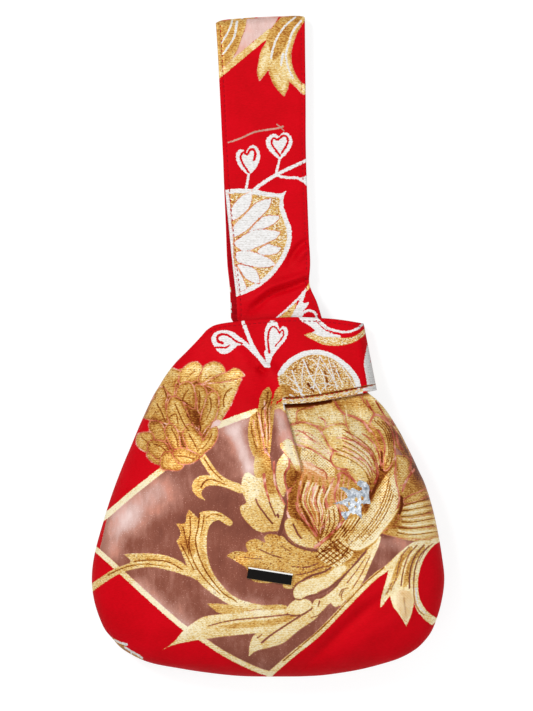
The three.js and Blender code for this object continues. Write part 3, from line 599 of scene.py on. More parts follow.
        "tip": [(398, 592), (405, 590), (411, 594), (411.6, 606), (406.6, 623), (401, 615), (397, 604)]}},
    "rightClusterLines": {"kind": "mauve", "tone": 0.12, "lines": {
        "a": ([(409, 547), (403, 554), (399, 565), (396.6, 577), (391, 590)], 1.0, 0.8),
        "b": ([(417, 545.5), (410, 553), (405.5, 563), (402.5, 575), (401, 586)], 1.0, 1.3),
        "c": ([(424, 545), (416, 554.5), (411.6, 565), (409.6, 576), (409.5, 588)], 1.2, 1.5),
        "d": ([(429, 546), (420.6, 555), (415.6, 567), (413.8, 582), (414.6, 600), (418.6, 610),
               (424, 615)], 1.3, 0.9),
        "e": ([(433, 543.5), (425, 551), (419, 562)], 0.7, 0.6),
        "f": ([(404, 598), (405, 607), (406, 616)], 0.8, 0.5),
        "g": ([(391.6, 583), (386, 595)], 0.8, 0.5)}},
    "rightClusterEdge": {"kind": "white", "tone": 0.85, "lines": {
        "shine": ([(416, 588), (417, 600), (420.6, 608), (426, 613.6)], 1.5, 0.9)}},
}
bigFlower = {
    "silk": {"kind": "gold", "tone": 0.3, "loops": {
        "lower": [(301, 470, 1), (297, 480), (293, 486), (290.5, 492), (288.5, 494), (288, 503), (288, 512),
                  (290.8, 516.6), (296.2, 518.9), (302.3, 522), (306.1, 527.3), (311.5, 534.2),
                  (316.1, 538.8), (321, 545), (316, 553), (316, 560), (322, 566), (336, 566), (352, 560),
                  (368, 549), (377, 541), (381.5, 533.5), (396, 537.5), (409, 540.5), (427, 540.5),
                  (440, 536.5), (452, 536, 1), (452, 470, 1)],
        "upper": [(255, 380, 1), (398, 380, 1), (452, 440, 1), (452, 474, 1), (301, 474, 1), (285, 450)]}},
    "silkWarm": {"kind": "gold", "tone": 0.5, "warm": 0.7, "fans": {
        "throat": ([(303, 468), (296, 486), (303, 506), (316, 530)], [(330, 474), (337, 490), (333, 508),
                    (324, 532)], 5, 4.6, 1.8),
        "mouth": ([(301, 459), (312, 463), (322, 470)], [(300, 474), (314, 476),
                   (328, 480)], 3, 4.0, 2.4)}},
    "petals": {"kind": "gold", "tone": 0.68, "fleckAndGlint": 0.55, "rim": 1.0, "loops": {
        "cornerLeft": [(286, 411), (296, 408), (298, 419), (291, 424), (285, 423)],
        "topA": [(298.5, 421), (296.8, 414), (301, 410), (311.6, 407.6), (322, 403), (334, 400), (339, 408),
                 (344.2, 414), (345.5, 424), (336, 424), (326, 428), (318, 425.5), (308, 423)],
        "topC": [(336, 398), (362, 396), (366.3, 403.2), (371.5, 409.5), (374.7, 413.7), (371, 421),
                 (365.5, 424.6), (360, 420), (353.7, 416.8), (347.3, 415.8), (340, 408)],
        "topD": [(362, 396), (380, 394), (392, 410), (402, 424), (392, 420), (384, 416), (376.8, 414.2),
                 (371.5, 409.5)],
        "leftA": [(290.5, 425.3), (303.2, 422.4), (315.8, 427), (324.2, 436.8), (330.5, 447.9), (334, 452),
                  (331, 462), (324.2, 458.2), (310.5, 449), (296.3, 444.2), (292, 434)],
        "middle": [(330.5, 447.9), (325.5, 438), (323, 431), (330.5, 425.8), (343.1, 424.7), (350, 431.6),
                   (356, 438), (365, 446), (372, 456), (377, 468), (378, 480), (372, 490), (364, 487),
                   (355, 480), (347, 471), (337, 468), (331.5, 461), (333.5, 452)],
        "upperRight": [(345, 415.5), (353.7, 416.8), (362, 421.5), (368, 428), (374, 436), (380, 450),
                       (382, 463), (377, 467), (373.7, 458.9), (369.4, 450.5), (363, 445), (355.8, 441.2),
                       (350, 431.6), (347, 424)],
        "knuckle": [(370.5, 424.1), (372.6, 416.8), (376.8, 414.7), (381.5, 417.4), (386.3, 422.1),
                    (390.5, 428.4), (393.1, 436.8), (394.7, 447.4), (394.5, 455.8), (390, 466),
                    (384.5, 470), (384.2, 455.5), (385, 445.2), (382, 436.7), (378.4, 430.5)]}},
    "weave": {"kind": "gold", "tone": 0.92, "gauze": 1.0, "fleckAndGlint": 0.7, "loops": {
        "band": [(303, 446), (312, 449.4), (324, 458), (333, 464.5), (334.5, 475), (326, 476), (322, 470),
                 (312, 464), (301, 459)],
        "arc": [(394.7, 467.3), (396, 480), (398.4, 490), (399, 500), (397, 508), (392.8, 516), (386, 525),
                (380.4, 532.6), (374.6, 540.8), (367.9, 545.7), (359.6, 549.9), (351.3, 549), (347.3, 541),
                (353, 531), (361, 521), (368.4, 509), (373.6, 497), (379, 486), (386, 475)],
        "lowGrid": [(326, 512), (336, 505), (341, 515), (340, 522), (334, 530), (324, 540), (319, 541),
                    (322.5, 530)],
        "checks": [(317, 556), (320.5, 546), (331, 539), (342, 538), (350, 547), (354, 552), (348, 560),
                   (336, 567), (326, 564)]}},
    "petalsRight": {"kind": "gold", "tone": 0.6, "fleckAndGlint": 0.3, "gauze": 0.35, "rim": 0.7, "loops": {
        "one": [(395.6, 456), (401, 455), (408, 458), (411, 466), (408.4, 476), (403, 484), (399.5, 484),
                (397, 472)],
        "two": [(404.2, 500.5), (411.5, 495.5), (420, 491.8), (427, 489), (433, 496), (427.3, 495.7),
                (420, 499.2), (412.6, 501.8), (405.2, 503.3)],
        "three": [(399.5, 512), (405, 505), (413, 502.6), (422, 499.5), (434, 496), (440, 508),
                  (430.5, 512.4), (418, 516.6), (407, 518.7), (399, 518.9)],
        "four": [(396, 526), (399, 519.5), (408.4, 519.4), (418, 517.4), (431, 513), (442, 512), (444, 524),
                 (430, 526.4), (412.6, 527.3), (404, 527.6)],
        "five": [(383, 533), (389, 528), (397, 527), (412, 528), (431, 527.2), (446, 526), (446, 533),
                 (437.8, 535), (427.3, 538.6), (416, 539), (402, 538), (391, 535.5)]}},
    "mistyPink": {"kind": "mauve", "tone": 0.62, "loops": {
        "corner": [(394.7, 447.4), (399.4, 450), (403, 455.2), (398, 454.8), (394.6, 454)]}},
    "peach": {"kind": "gold", "tone": 0.8, "warm": 0.95, "loops": {
        "strip": [(303, 461), (310, 462), (318, 467.5), (323, 469.8), (327, 474), (326.8, 479), (320, 475),
                  (313, 470.5), (305, 467.5)]}},
    # painted shade: dark lines under the band's hem, down the fold valleys and in the flower's core; the
    # three crosses are dark woven bars
    "foldShadeAndBars": {"kind": "rust", "tone": -0.1, "lines": {
        "underBand": ([(288, 404.5), (300, 404), (316, 403), (330, 401)], 7.0, 4.0),
        "valleyA": ([(376.5, 470), (378, 480), (373.5, 491), (368, 501)], 1.6, 2.6),
        "valleyB": ([(381.5, 452), (382, 461), (379.5, 468), (384, 472)], 1.8, 1.4),
        "valleyC": ([(401.5, 497), (402, 505), (399.5, 513)], 2.2, 2.6),
        "core": ([(341, 526), (346, 531), (344, 536)], 3.6, 3.0),
        "coreTwo": ([(352, 531), (356, 525), (362, 516)], 1.8, 2.6),
        "crossA": ([(322, 552), (331, 548)], 1.2, 1.0), "crossB": ([(334, 545), (339, 551)], 1.2, 1.0),
        "crossC": ([(342, 556), (348, 549)], 1.2, 1.4)}},
    "outlines": {"kind": "rose", "tone": 0.5, "lines": {
        "a": ([(335.2, 402.1), (338.9, 408.4), (344.2, 413.7), (353.7, 416.8), (360, 420), (365.2, 424.2),
               (369.4, 431)], 1.8, 2.8),
        "b": ([(370.5, 422.1), (372.6, 416.8), (376.8, 414.7), (381.5, 417.4), (386.3, 422.1),
               (390.5, 428.4), (393.1, 436.8), (394.7, 447.4), (395.2, 455.8), (395.8, 465.2),
               (394.7, 471.6), (395.8, 480), (397.9, 489.4), (399.4, 497.9), (397.9, 506.3), (394.7, 513.6),
               (389.4, 521)], 1.7, 1.5),
        "c": ([(290.5, 425.3), (296.8, 423.7), (303.2, 422.1), (310.5, 424.2), (315.8, 426.8),
               (320.5, 431.6), (324.2, 436.8), (327.4, 443.1), (330.5, 447.9), (336.8, 451.6)], 1.2, 1.6),
        "d": ([(297.9, 430.5), (302.6, 432.1), (307.4, 435.8), (312.6, 439.5), (319.5, 443.7)], 1.6, 0.9),
        "e": ([(295.3, 443.8), (303.2, 446.3), (310.5, 448.9), (316.8, 452.6), (324.2, 457.9),
               (331.5, 462.5)], 1.9, 1.2),
        "f": ([(336.8, 437.9), (343.1, 437.9), (349.5, 440), (355.8, 441.6), (363.1, 445.2), (369.4, 450.5),
               (373.7, 458.9), (376.8, 467.3), (377.3, 475.8), (374.7, 483.1)], 1.5, 2.2),
        "g": ([(362.1, 433.7), (367.3, 436.8), (372.6, 442.1), (376.3, 448.4), (378.9, 454.7),
               (381, 465.2)], 1.3, 1.8),
        "h": ([(378.4, 430.5), (381, 434.7), (383.7, 441), (385.2, 447.2), (384.2, 455.5)], 2.2, 1.2),
        "i": ([(333.7, 451.6), (331.6, 454.7), (330.5, 458.9), (332.6, 464.2), (336.8, 467.9),
               (347.3, 469.5)], 1.8, 1.6),
        "j": ([(353.7, 457.4), (360, 458.9), (366.3, 463.1), (371.5, 468.4), (375.2, 473.7)], 1.2, 1.4),
        "k": ([(309.5, 462.6), (316.8, 467.3), (323.1, 470.5), (326.3, 473.7), (326.8, 478.9)], 1.2, 1.4),
        "l": ([(302.1, 489.4), (301, 496.8), (303.7, 503.1), (307.4, 509.4), (311.6, 516.8), (315.3, 524.2),
               (316.8, 532.5)], 2.0, 1.6),
        "m": ([(295.8, 502.1), (297.4, 509.4), (301, 515.8), (306.3, 522.1), (311.6, 528.4),
               (316.8, 535.6)], 1.4, 2.6),
        "n": ([(312.6, 487.3), (313.7, 494.7), (315.8, 504.2), (320, 513.6), (322.1, 521),
               (324.2, 528.4)], 2.4, 1.8),
        "o": ([(323.1, 485.8), (324.7, 492.6), (325.2, 500), (326.3, 507.3)], 2.2, 3.0),
        "p": ([(337.9, 475.2), (338.9, 481), (335.8, 488.4), (334.7, 494.7), (335.8, 501), (338.4, 508.4),
               (341, 514.7), (340, 521), (335.8, 528.4)], 2.6, 1.6),
        "q": ([(338.9, 473.7), (343.1, 472.6), (348.4, 475.8), (355.8, 482.1)], 2.0, 2.6),
        "r": ([(315, 547), (324.2, 540), (334.7, 530.5), (343.1, 522.1), (347.3, 517.9)], 3.0, 1.8),
        "s": ([(414.2, 469.5), (409.4, 475.8), (405.2, 483.1), (402.4, 491)], 2.4, 2.4),
        "t": ([(391.5, 421), (395.8, 430.5), (397.9, 442.1), (402.1, 449.5)], 1.8, 2.2),
        "u": ([(366.3, 400.2), (371.5, 409.5), (375, 414)], 1.6, 1.6),
        "v": ([(375.8, 401), (380, 408.4), (385.2, 416.8), (390, 424)], 1.6, 1.4),
        "w": ([(386, 404), (393, 414), (399, 426), (404, 438)], 1.2, 1.2),
        "x": ([(409.4, 450.5), (411, 457.8), (410.5, 465.2), (408.4, 470)], 1.8, 1.4),
        "y": ([(318.9, 417.4), (324.2, 420), (326.3, 427.4)], 1.5, 1.2),
        "z": ([(404.2, 498.9), (411.5, 494.7), (420, 491.5), (428, 487.4)], 1.4, 1.0)}},
    "fineRose": {"kind": "rose", "tone": 0.95, "fans": {
        "throat": ([(297, 482), (294, 502), (303, 520), (315, 537)], [(338, 478), (330, 497), (332, 512),
                    (322, 534)], 5, 1.7, 0.8),
        "middle": ([(348, 430), (363, 440), (375, 453), (380, 467)], [(334, 453), (350, 459), (364, 469),
                    (372, 485)], 5, 1.1, 0.7),
        "left": ([(295, 429), (308, 430), (321, 441), (331, 453)], [(294, 441), (309, 447), (325, 456),
                  (333, 462)], 3, 1.0, 0.7),
        "crook": ([(338, 474), (336, 486), (337, 500), (342, 514)], [(352, 476), (350, 486), (346, 498),
                   (350, 512)], 3, 1.2, 0.8)}},
    "fineDark": {"kind": "rust", "tone": 0.35, "fans": {
        "middle": ([(344, 427), (360, 437), (373, 449), (378, 462)], [(334, 456), (350, 462), (364, 473),
                    (370, 487)], 6, 0.8, 0.5),
        "knuckle": ([(373, 421), (384, 432), (388, 450), (385, 466)], [(383, 418), (392, 430), (394, 450),
                     (391, 464)], 4, 0.9, 0.6),
        "side": ([(396, 425), (404, 440), (412, 456), (416, 470)], [(388, 408), (400, 422), (412, 440),
                  (424, 466)], 5, 1.0, 0.8),
        "right": ([(402, 503), (416, 499), (434, 494)], [(396, 535), (412, 538), (438, 535)], 6, 0.9, 0.6),
        "throat": ([(300, 484), (297, 503), (306, 520), (317, 536)], [(335, 482), (328, 497), (329, 512),
                    (321, 532)], 4, 1.1, 0.6),
        "arc": ([(388, 478), (382, 500), (368, 524), (354, 540)], [(396, 490), (390, 508), (378, 528),
                 (362, 544)], 4, 0.8, 0.5)}},
    "mosaicBars": {"kind": "rust", "tone": 0.5, "fans": {
        "down": ([(315, 552), (326, 560), (336, 567)], [(336, 536), (346, 545), (357, 551)], 6, 1.1, 0.8),
        "up": ([(315, 556), (325, 546), (338, 537)], [(328, 568), (341, 561), (355, 550)], 5, 1.0, 0.8),
        "inner": ([(322, 512), (322, 526), (318, 540)], [(340, 506), (342, 520),
                   (336, 532)], 4, 1.0, 0.7)}},
    "finePale": {"kind": "gold", "tone": 1.05, "fans": {
        "throat": ([(305, 480), (300, 500), (308, 516), (318, 530)], [(333, 486), (326, 502), (327, 514),
                    (320, 530)], 5, 1.4, 0.8),
        "side": ([(393, 427), (402, 440), (409, 455)], [(398, 424), (408, 438), (418, 460)], 3, 1.3, 0.9),
        "right": ([(404, 505), (418, 501), (434, 497)], [(398, 533), (412, 536), (436, 533)], 5, 1.3, 0.9),
        "core": ([(344, 520), (338, 530), (330, 540)], [(366, 514), (356, 528), (344, 542)], 5, 1.3, 0.9),
        "top": ([(296, 412), (300, 421)], [(366, 400), (368, 420)], 5, 1.6, 0.8)}},
    # a painted highlight along the lit ridge at the arc's edge
    "ridgeShine": {"kind": "gold", "tone": 1.0, "lines": {
        "edge": ([(397.2, 509.5), (392.5, 517), (386, 525.4), (380.4, 532), (374, 539.8), (367.4, 544.6),
                  (359.6, 548.6), (352.5, 548.2)], 1.6, 3.2)}},
    "foil": {"kind": "silver", "tone": 0.6, "loops": {
        "patch": [(359, 480, 1), (365.5, 482), (369.5, 487), (369, 495), (371, 504, 1), (365, 504),
                  (361.5, 508), (362, 519.5, 1), (356.5, 514), (352.5, 514.5), (351, 513),
                  (345.8, 520.5, 1), (341, 512.5), (349, 511), (344.5, 505), (333, 503.5, 1), (343.5, 500),
                  (347.5, 497), (345, 492), (338.5, 487.5, 1), (344.5, 487.3), (349, 490),
                  (352.5, 487.5, 1), (359.5, 491), (362, 488), (357, 484.5)]}},
    "foilHoles": {"kind": "gold", "tone": 0.5, "loops": {
        "a": [(356, 497), (358, 499), (356.5, 502), (354.5, 500)],
        "b": [(361.5, 496), (364, 497.5), (363, 500.5), (361, 499)],
        "c": [(354.5, 505), (357, 506.5), (355, 508)],
        "d": [(348.5, 502), (350.5, 503.5), (349, 506)],
        "e": [(360.8, 505.8), (362.5, 503), (363.4, 505.4)]}},
}
strapPattern = {
    "topField": {"kind": "mauve", "tone": 0.9, "loops": {
        "patch": [(244, 8, 1), (284, 6, 1), (276, 22), (270, 30), (262, 36), (254, 41), (240, 54),
                  (229.6, 63, 1), (237, 40), (243, 22)]}},
    "topBorder": {"kind": "gold", "tone": 0.7, "lines": {
        "line": ([(214, 78), (221, 73), (240, 57), (254, 45.5), (270, 32)], 6.6, 6.6)}},
    "topLeaves": {"kind": "gold", "tone": 0.66, "fleckAndGlint": 0.25, "rim": 0.5, "loops": {
        "left": [(247, 6, 1), (246, 23), (242, 36), (236, 52), (228, 63), (221, 69), (212, 76, 1),
                 (208, 8, 1)],
        "right": [(305, 6, 1), (284, 8, 1), (282, 20), (275, 25), (269, 36), (266, 42.5), (261, 52),
                  (258, 67), (257.5, 73.5), (259.5, 80.5, 1), (269, 69, 1), (270, 75), (275, 86),
                  (284, 96.5, 1), (288, 87), (289, 81, 1), (297, 88), (302.5, 94), (306.5, 93), (306, 86),
                  (300, 81.5), (293, 69), (291, 55), (293, 44), (297, 33), (303, 23), (309, 16, 1)]}},
    "topLeavesDeep": {"kind": "gold", "tone": 0.4, "fleckAndGlint": 0.45, "loops": {
        "left": [(245, 8, 1), (244.4, 22), (240.6, 35), (234.6, 51), (227, 61.5), (221.5, 66), (214, 60, 1),
                 (210, 8, 1)],
        "right": [(299, 8, 1), (284.2, 15), (275.4, 23.2), (268.6, 32.6), (266.4, 39.3), (268.1, 43),
                  (269.5, 48.1), (273.2, 60.6, 1), (278.3, 56.9), (282.7, 51.1), (287.1, 41.5), (291.5, 32),
                  (299.6, 21), (303, 14)]}},
    "topLeafVeins": {"kind": "white", "tone": 0.8, "lines": {
        "a": ([(233, 16), (230, 28), (221.6, 43)], 2.0, 1.4),
        "b": ([(237, 22), (233.6, 38), (223, 54)], 2.4, 1.4),
        "c": ([(295.6, 17), (285, 26), (277, 38), (273, 49), (271, 58)], 1.6, 2.0),
        "d": ([(301, 21), (293, 31), (289, 42.5), (286, 55), (288, 67), (293, 78)], 2.0, 1.6),
        "e": ([(283, 54), (281, 65)], 2.6, 1.6)}},
    "pinkTrace": {"kind": "mauve", "tone": 0.7, "lines": {
        "swish": ([(228, 142.7), (241.4, 137.9), (253.5, 132.4), (265.6, 130), (276, 128.5),
                   (283, 126.5)], 1.6, 2.0),
        "hook": ([(277, 124.5), (281, 127.5), (284, 131)], 1.4, 0.9)}},
    "hearts": {"kind": "white", "tone": 0.85, "loops": {
        "one": [(246, 153.5, 1), (243, 149.6), (239.6, 149.6), (236.2, 153.5), (236.4, 160), (240.5, 168),
                (248.5, 175.6, 1), (255.5, 168.5), (259.6, 160), (259.6, 152.5), (256, 146.2),
                (251.8, 145.4), (248, 148.4)],
        "two": [(279, 137, 1), (275.5, 134), (270.6, 135), (266.4, 139.5), (266.6, 146), (272, 153.5),
                (280, 160, 1), (287, 153), (292, 144.5), (291.4, 137), (287, 132.8), (282.4, 133)]},
        "lines": {
        "stemOne": ([(249, 173), (247.8, 181), (246, 189)], 2.2, 2.6),
        "stemTwo": ([(280, 158), (278, 166), (276, 174)], 2.2, 2.6),
        "branch": ([(309, 158.5), (305, 161), (290, 168), (276, 175), (263, 183), (254, 190)], 3.2, 3.6),
        "lowBranch": ([(276, 175), (286, 177.4), (297, 178), (303, 181), (309, 186)], 2.4, 2.8)}},
    "heartGaps": {"kind": "ground", "tone": 0.5, "lines": {
        "one": ([(248.6, 172), (241.6, 161.5), (241.2, 155), (244.4, 151.8), (246.8, 154.6), (249.8, 150.2),
                 (253.5, 149.4), (255.5, 154), (254.1, 160)], 2.2, 2.6),
        "two": ([(280.2, 156), (272.9, 146), (271.5, 141), (274.1, 138), (277.7, 140), (282, 136.2),
                 (286.2, 136), (288, 140.3), (286.2, 145.8), (282, 152.6)], 2.2, 2.2)}},
    "smallLeaf": {"kind": "white", "tone": 0.8, "loops": {
        "edge": [(297, 178, 1), (303, 177), (309, 176), (309, 187), (304.5, 182)]}},
    "medallionRim": {"kind": "white", "tone": 0.85, "loops": {
        "outer": [(222, 190.5), (239, 188.5), (254, 189.6), (270, 192.5), (281, 193.4), (286.4, 190.4, 1),
                  (283.6, 198), (283.6, 207), (287.6, 218), (291.3, 229), (291.3, 241), (287.6, 253),
                  (279.5, 267), (269, 279), (257, 288), (245, 293.5), (235, 297), (224, 299, 1),
                  (205, 296, 1), (205, 191, 1)]}},
    "medallionGold": {"kind": "gold", "tone": 0.45, "fleckAndGlint": 1.0, "loops": {
        "inner": [(222, 194.6), (239, 193), (254, 194.2), (268, 197), (279.2, 198.2), (279, 207),
                  (283, 219), (286.6, 230), (286.6, 240.5), (283.2, 251.5), (275.6, 264.4), (265.6, 275.6),
                  (254.6, 283.8), (243, 289), (232, 292.6), (205, 293, 1), (205, 196, 1)]}},
    "medallionLeaves": {"kind": "white", "tone": 0.75, "rim": 0.55, "loops": {
        "a": [(251.7, 190.6, 1), (251.1, 201.5), (246.8, 210), (232.9, 220.3), (231.1, 210), (235.3, 202.7),
              (241.4, 196.7)],
        "b": [(271.7, 197.9, 1), (268, 208.8), (257.1, 219.7), (247.4, 229.4), (234.1, 236.7), (233.5, 227),
              (245, 214.8), (257.1, 202.7)],
        "c": [(257.1, 222.1), (265.6, 216.1), (279.2, 215.6, 1), (277.7, 220.3), (268, 227), (258.3, 229.4),
              (247.4, 233, 1)],
        "g": [(237.7, 264.5), (246.2, 265.8), (254.7, 269.4), (258.9, 276.7), (259.7, 283.4, 1),
              (253.5, 282.6), (246.2, 278.5), (241.4, 271.8)],
        "e": [(258.3, 250), (268, 243.9), (272.9, 245.8), (281, 247.8, 1), (277.7, 252.4), (268, 255),
              (259.5, 253.6)],
        "d": [(235.3, 241.5), (246.2, 234.2), (258.3, 229.4), (272.9, 230.6), (280.4, 231.8, 1),
              (276.5, 237.9), (269.2, 241.5), (258.3, 246.4), (245, 251.2), (236.5, 246.4)],
        "f": [(236.5, 252.4), (248.6, 251.2), (260.8, 254.8), (270.5, 259.7), (275.6, 264.9, 1), (268, 267),
              (257.1, 267), (245, 264.5), (237.1, 260.9)],
        "h": [(232.9, 263.3), (241.4, 275.5), (246.8, 288.8, 1), (240.2, 291.6), (235.9, 291.6),
              (234.1, 275.5)],
        "edge": [(222, 194.2, 1), (228.6, 194.2), (231.1, 222.1), (232.9, 239.1), (234.1, 263.3),
                 (238.2, 293, 1), (229, 297, 1), (223, 239.1)]}},
    "lowStrap": {"kind": "white", "tone": 0.8, "loops": {
        "jagged": [(305.4, 291.5), (304.4, 297), (303, 302.6), (309.4, 302, 1), (306.4, 307.2),
                   (303, 311.5), (299.4, 318, 1), (288.4, 318, 1), (294.5, 310.3), (298.2, 303),
                   (301.8, 296.6)]},
        "lines": {
        "thin": ([(312, 283.4), (303, 293.3), (296.9, 300), (287.2, 309.1), (276.6, 318)], 3.0, 1.6),
        "curl": ([(300.6, 317), (303, 313), (308, 310.6), (313, 311.4), (316.4, 315),
                  (316, 319)], 2.6, 2.4)}},
    "lowStrapGold": {"kind": "gold", "tone": 0.6, "fleckAndGlint": 0.8, "loops": {
        "wedge": [(296.5, 302.6, 1), (295, 308.6), (290.4, 318, 1), (279, 318, 1), (288, 310)]},
        "lines": {"end": ([(311, 283), (307, 289)], 3.4, 2.6)}},
}
bandPattern = {
    "curl": {"kind": "white", "tone": 0.85, "loops": {
        "head": [(248.6, 344.5), (240, 337), (232.6, 332), (223, 330), (215, 332.6), (211.6, 338),
                 (213.4, 345), (219, 352.4), (226, 354), (233, 349.6), (238, 345.6), (244, 345.6),
                 (252, 353), (258, 358.5)]},
        "lines": {
        "stalk": ([(243, 322), (247.5, 334), (253, 347), (259, 356.6), (266, 365.5)], 3.6, 4.6),
        "heartStalk": ([(266, 352), (267.4, 360), (268.6, 366)], 3.4, 3.4)}},
    "curlGaps": {"kind": "ground", "tone": 0.5, "lines": {
        "swirl": ([(222.6, 343), (218.4, 341.6), (217.2, 337.6), (220, 334.7), (225.4, 334.4),
                   (231.5, 337.6), (236.4, 341.6), (242.4, 343.4)], 2.8, 1.8),
        "notch": ([(229.6, 345), (225.4, 347.8), (219.6, 347.2), (214.6, 348)], 1.6, 2.4)}},
    "heart": {"kind": "white", "tone": 0.85, "loops": {
        "outer": [(279.6, 329.6, 1), (277, 322.6), (272, 320.4), (267.4, 324), (264.7, 333), (265.4, 346),
                  (267.6, 358), (269, 366.5, 1), (272.7, 356), (279.6, 347), (285.4, 340), (287.8, 333),
                  (286.6, 328), (283, 326)]}},
    "heartGaps": {"kind": "ground", "tone": 0.5, "lines": {
        "ring": ([(269.4, 352.7), (267.9, 340.6), (269.1, 330.9), (272.4, 326.6), (276.8, 328.4),
                  (279.4, 333), (282.2, 330), (283.8, 334.2), (280, 340.6), (275.1, 346)], 2.3, 1.4)}},
    "crescent": {"kind": "white", "tone": 0.82, "loops": {
        "leaf": [(297.6, 315, 1), (301, 320.5), (309.1, 325.4), (315, 330.4), (311.5, 333.4), (321.2, 338),
                 (334, 338.4), (341, 336), (330.9, 332.4), (322.4, 325), (316, 317), (308, 313)],
        "end": [(368.5, 340, 1), (365, 356), (364, 365), (366, 377), (368, 394, 1), (384, 394, 1),
                (380, 338, 1)]},
        "lines": {
        "arc": ([(313, 315.6), (321.2, 322.4), (328.4, 328.4), (339.4, 331.5), (347.8, 332), (357.5, 328.5),
                 (365, 322)], 2.2, 2.4)}},
    "crescentGold": {"kind": "gold", "tone": 0.5, "fleckAndGlint": 1.0, "loops": {
        "lower": [(304, 335.1, 1), (311.5, 332.6), (321.2, 336.5), (335.7, 337.2), (347.8, 337.8),
                  (357.5, 334.5), (365.6, 327.6, 1), (366, 332.7), (358.7, 339.6), (345.4, 344.8),
                  (327.2, 345.3), (315.1, 341)]}},
    "crescentGround": {"kind": "ground", "tone": 0.5, "lines": {
        "gap": ([(316, 320.6), (322, 327), (330, 332.4), (340, 334.6), (349, 334.8), (358, 331.8),
                 (366, 325)], 0.9, 1.5),
        "endGap": ([(372, 350), (371, 362)], 1.2, 0.8)}},
    "discRim": {"kind": "white", "tone": 0.85, "loops": {
        "outer": [(279.4, 380), (278, 374), (283, 365), (292, 357), (305, 351), (320, 350), (335, 355),
                  (348.5, 365), (358, 377), (363, 394, 1), (284, 410, 1)]}},
    "disc": {"kind": "gold", "tone": 0.34, "fleckAndGlint": 1.0, "loops": {
        "inner": [(284.6, 381), (283.4, 375), (287.4, 368), (295.4, 361.2), (306.8, 355.8), (320, 354.8),
                  (332.4, 359), (344.6, 368), (353, 379), (358, 394, 1), (287, 408, 1)]}},
    "discOpen": {"kind": "gold", "tone": 0.5, "fleckAndGlint": 1.0, "loops": {
        "corner": [(277.4, 377.5, 1), (284, 374), (289, 382), (290, 392), (286, 398), (281, 392, 1)]}},
    "discShade": {"kind": "rust", "tone": 0.75, "lines": {
        "a": ([(305, 364), (309, 369), (313, 373)], 1.8, 1.2), "b": ([(308, 384), (314, 392)], 1.8, 1.2),
        "c": ([(325, 372), (328, 386)], 1.4, 1.8), "d": ([(292, 371), (297, 367)], 1.4, 1.0),
        "e": ([(338, 372), (341, 380)], 1.4, 1.0)}},
    "discStrokes": {"kind": "white", "tone": 0.8, "lines": {
        "a": ([(292.1, 370.5), (297, 384), (303.4, 399)], 1.4, 1.8),
        "b": ([(285.5, 375), (293, 381), (302, 391)], 1.0, 1.2),
        "c": ([(303, 359.4), (311, 377), (321.2, 394)], 1.6, 1.4),
        "d": ([(320, 356.5), (316, 372), (313.4, 389)], 1.4, 1.2),
        "e": ([(320, 356.5), (329, 371), (338.1, 387)], 1.4, 1.2),
        "f": ([(304.2, 362.6), (302, 375), (302.4, 389)], 1.1, 0.9),
        "g": ([(328.4, 359), (333, 374), (336.9, 389)], 1.2, 1.0),
        "h": ([(333.3, 362.8), (338, 374), (343, 385)], 1.1, 1.0),
        "i": ([(339.4, 364.6), (345, 371), (350.3, 378)], 1.1, 0.9),
        "j": ([(345.4, 371.9), (350, 379), (354.6, 387)], 1.1, 0.9),
        "k": ([(290, 388), (299, 392), (309, 399)], 1.6, 1.0),
        "l": ([(286, 393), (293, 396), (300, 400)], 1.3, 1.0),
        "m": ([(309, 367), (316, 364), (326, 366)], 0.9, 0.8),
        "n": ([(306, 378), (318, 374), (331, 377)], 0.9, 0.8),
        "o": ([(310, 388), (322, 383), (334, 386)], 0.9, 0.8),
        "p": ([(312, 358.6), (322, 372), (326, 390)], 1.1, 1.0),
        "q": ([(322, 390), (331, 380), (337, 370)], 0.9, 0.8)}},
    "discLeaf": {"kind": "gold", "tone": 0.3, "fleckAndGlint": 0.3, "loops": {
        "tip": [(272.7, 403, 1), (275.1, 391.5), (280.4, 385.8), (285, 384.4), (290.4, 387.2),
                (294, 393, 1), (288.5, 394.6), (284.6, 396), (280.6, 399.4)]},
        "lines": {"rib": ([(283, 390), (288, 391.6), (296, 397)], 1.6, 1.0)}},
    "hemShade": {"kind": "rust", "tone": 0.5, "lines": {
        "above": ([(284, 398), (303, 396.9), (320, 394.6), (343, 390.6), (363, 386.7),
                   (378, 383.8)], 1.6, 1.4)}},
    "hem": {"kind": "gold", "tone": 0.72, "fleckAndGlint": 1.0, "lines": {
        "roll": ([(283, 401.4), (303, 400), (320, 397.8), (343, 393.8), (363, 389.9),
                  (380, 386.7)], 3.2, 3.2)}},
    "hemWhite": {"kind": "white", "tone": 0.8, "lines": {
        "end": ([(364, 389.6), (372, 388.2), (380, 386.7)], 3.0, 3.2),
        "a": ([(290, 400.4), (294, 400.8)], 1.6, 1.2), "b": ([(301, 400.6), (306, 399.6)], 1.4, 1.2),
        "c": ([(315, 398.4), (319, 398.6)], 1.6, 1.2), "d": ([(328, 396.4), (333, 396.2)], 1.4, 1.2),
        "e": ([(344, 393.8), (350, 392)], 1.6, 1.2), "f": ([(356, 391.8), (360, 390.4)], 1.4, 1.2)}},
}
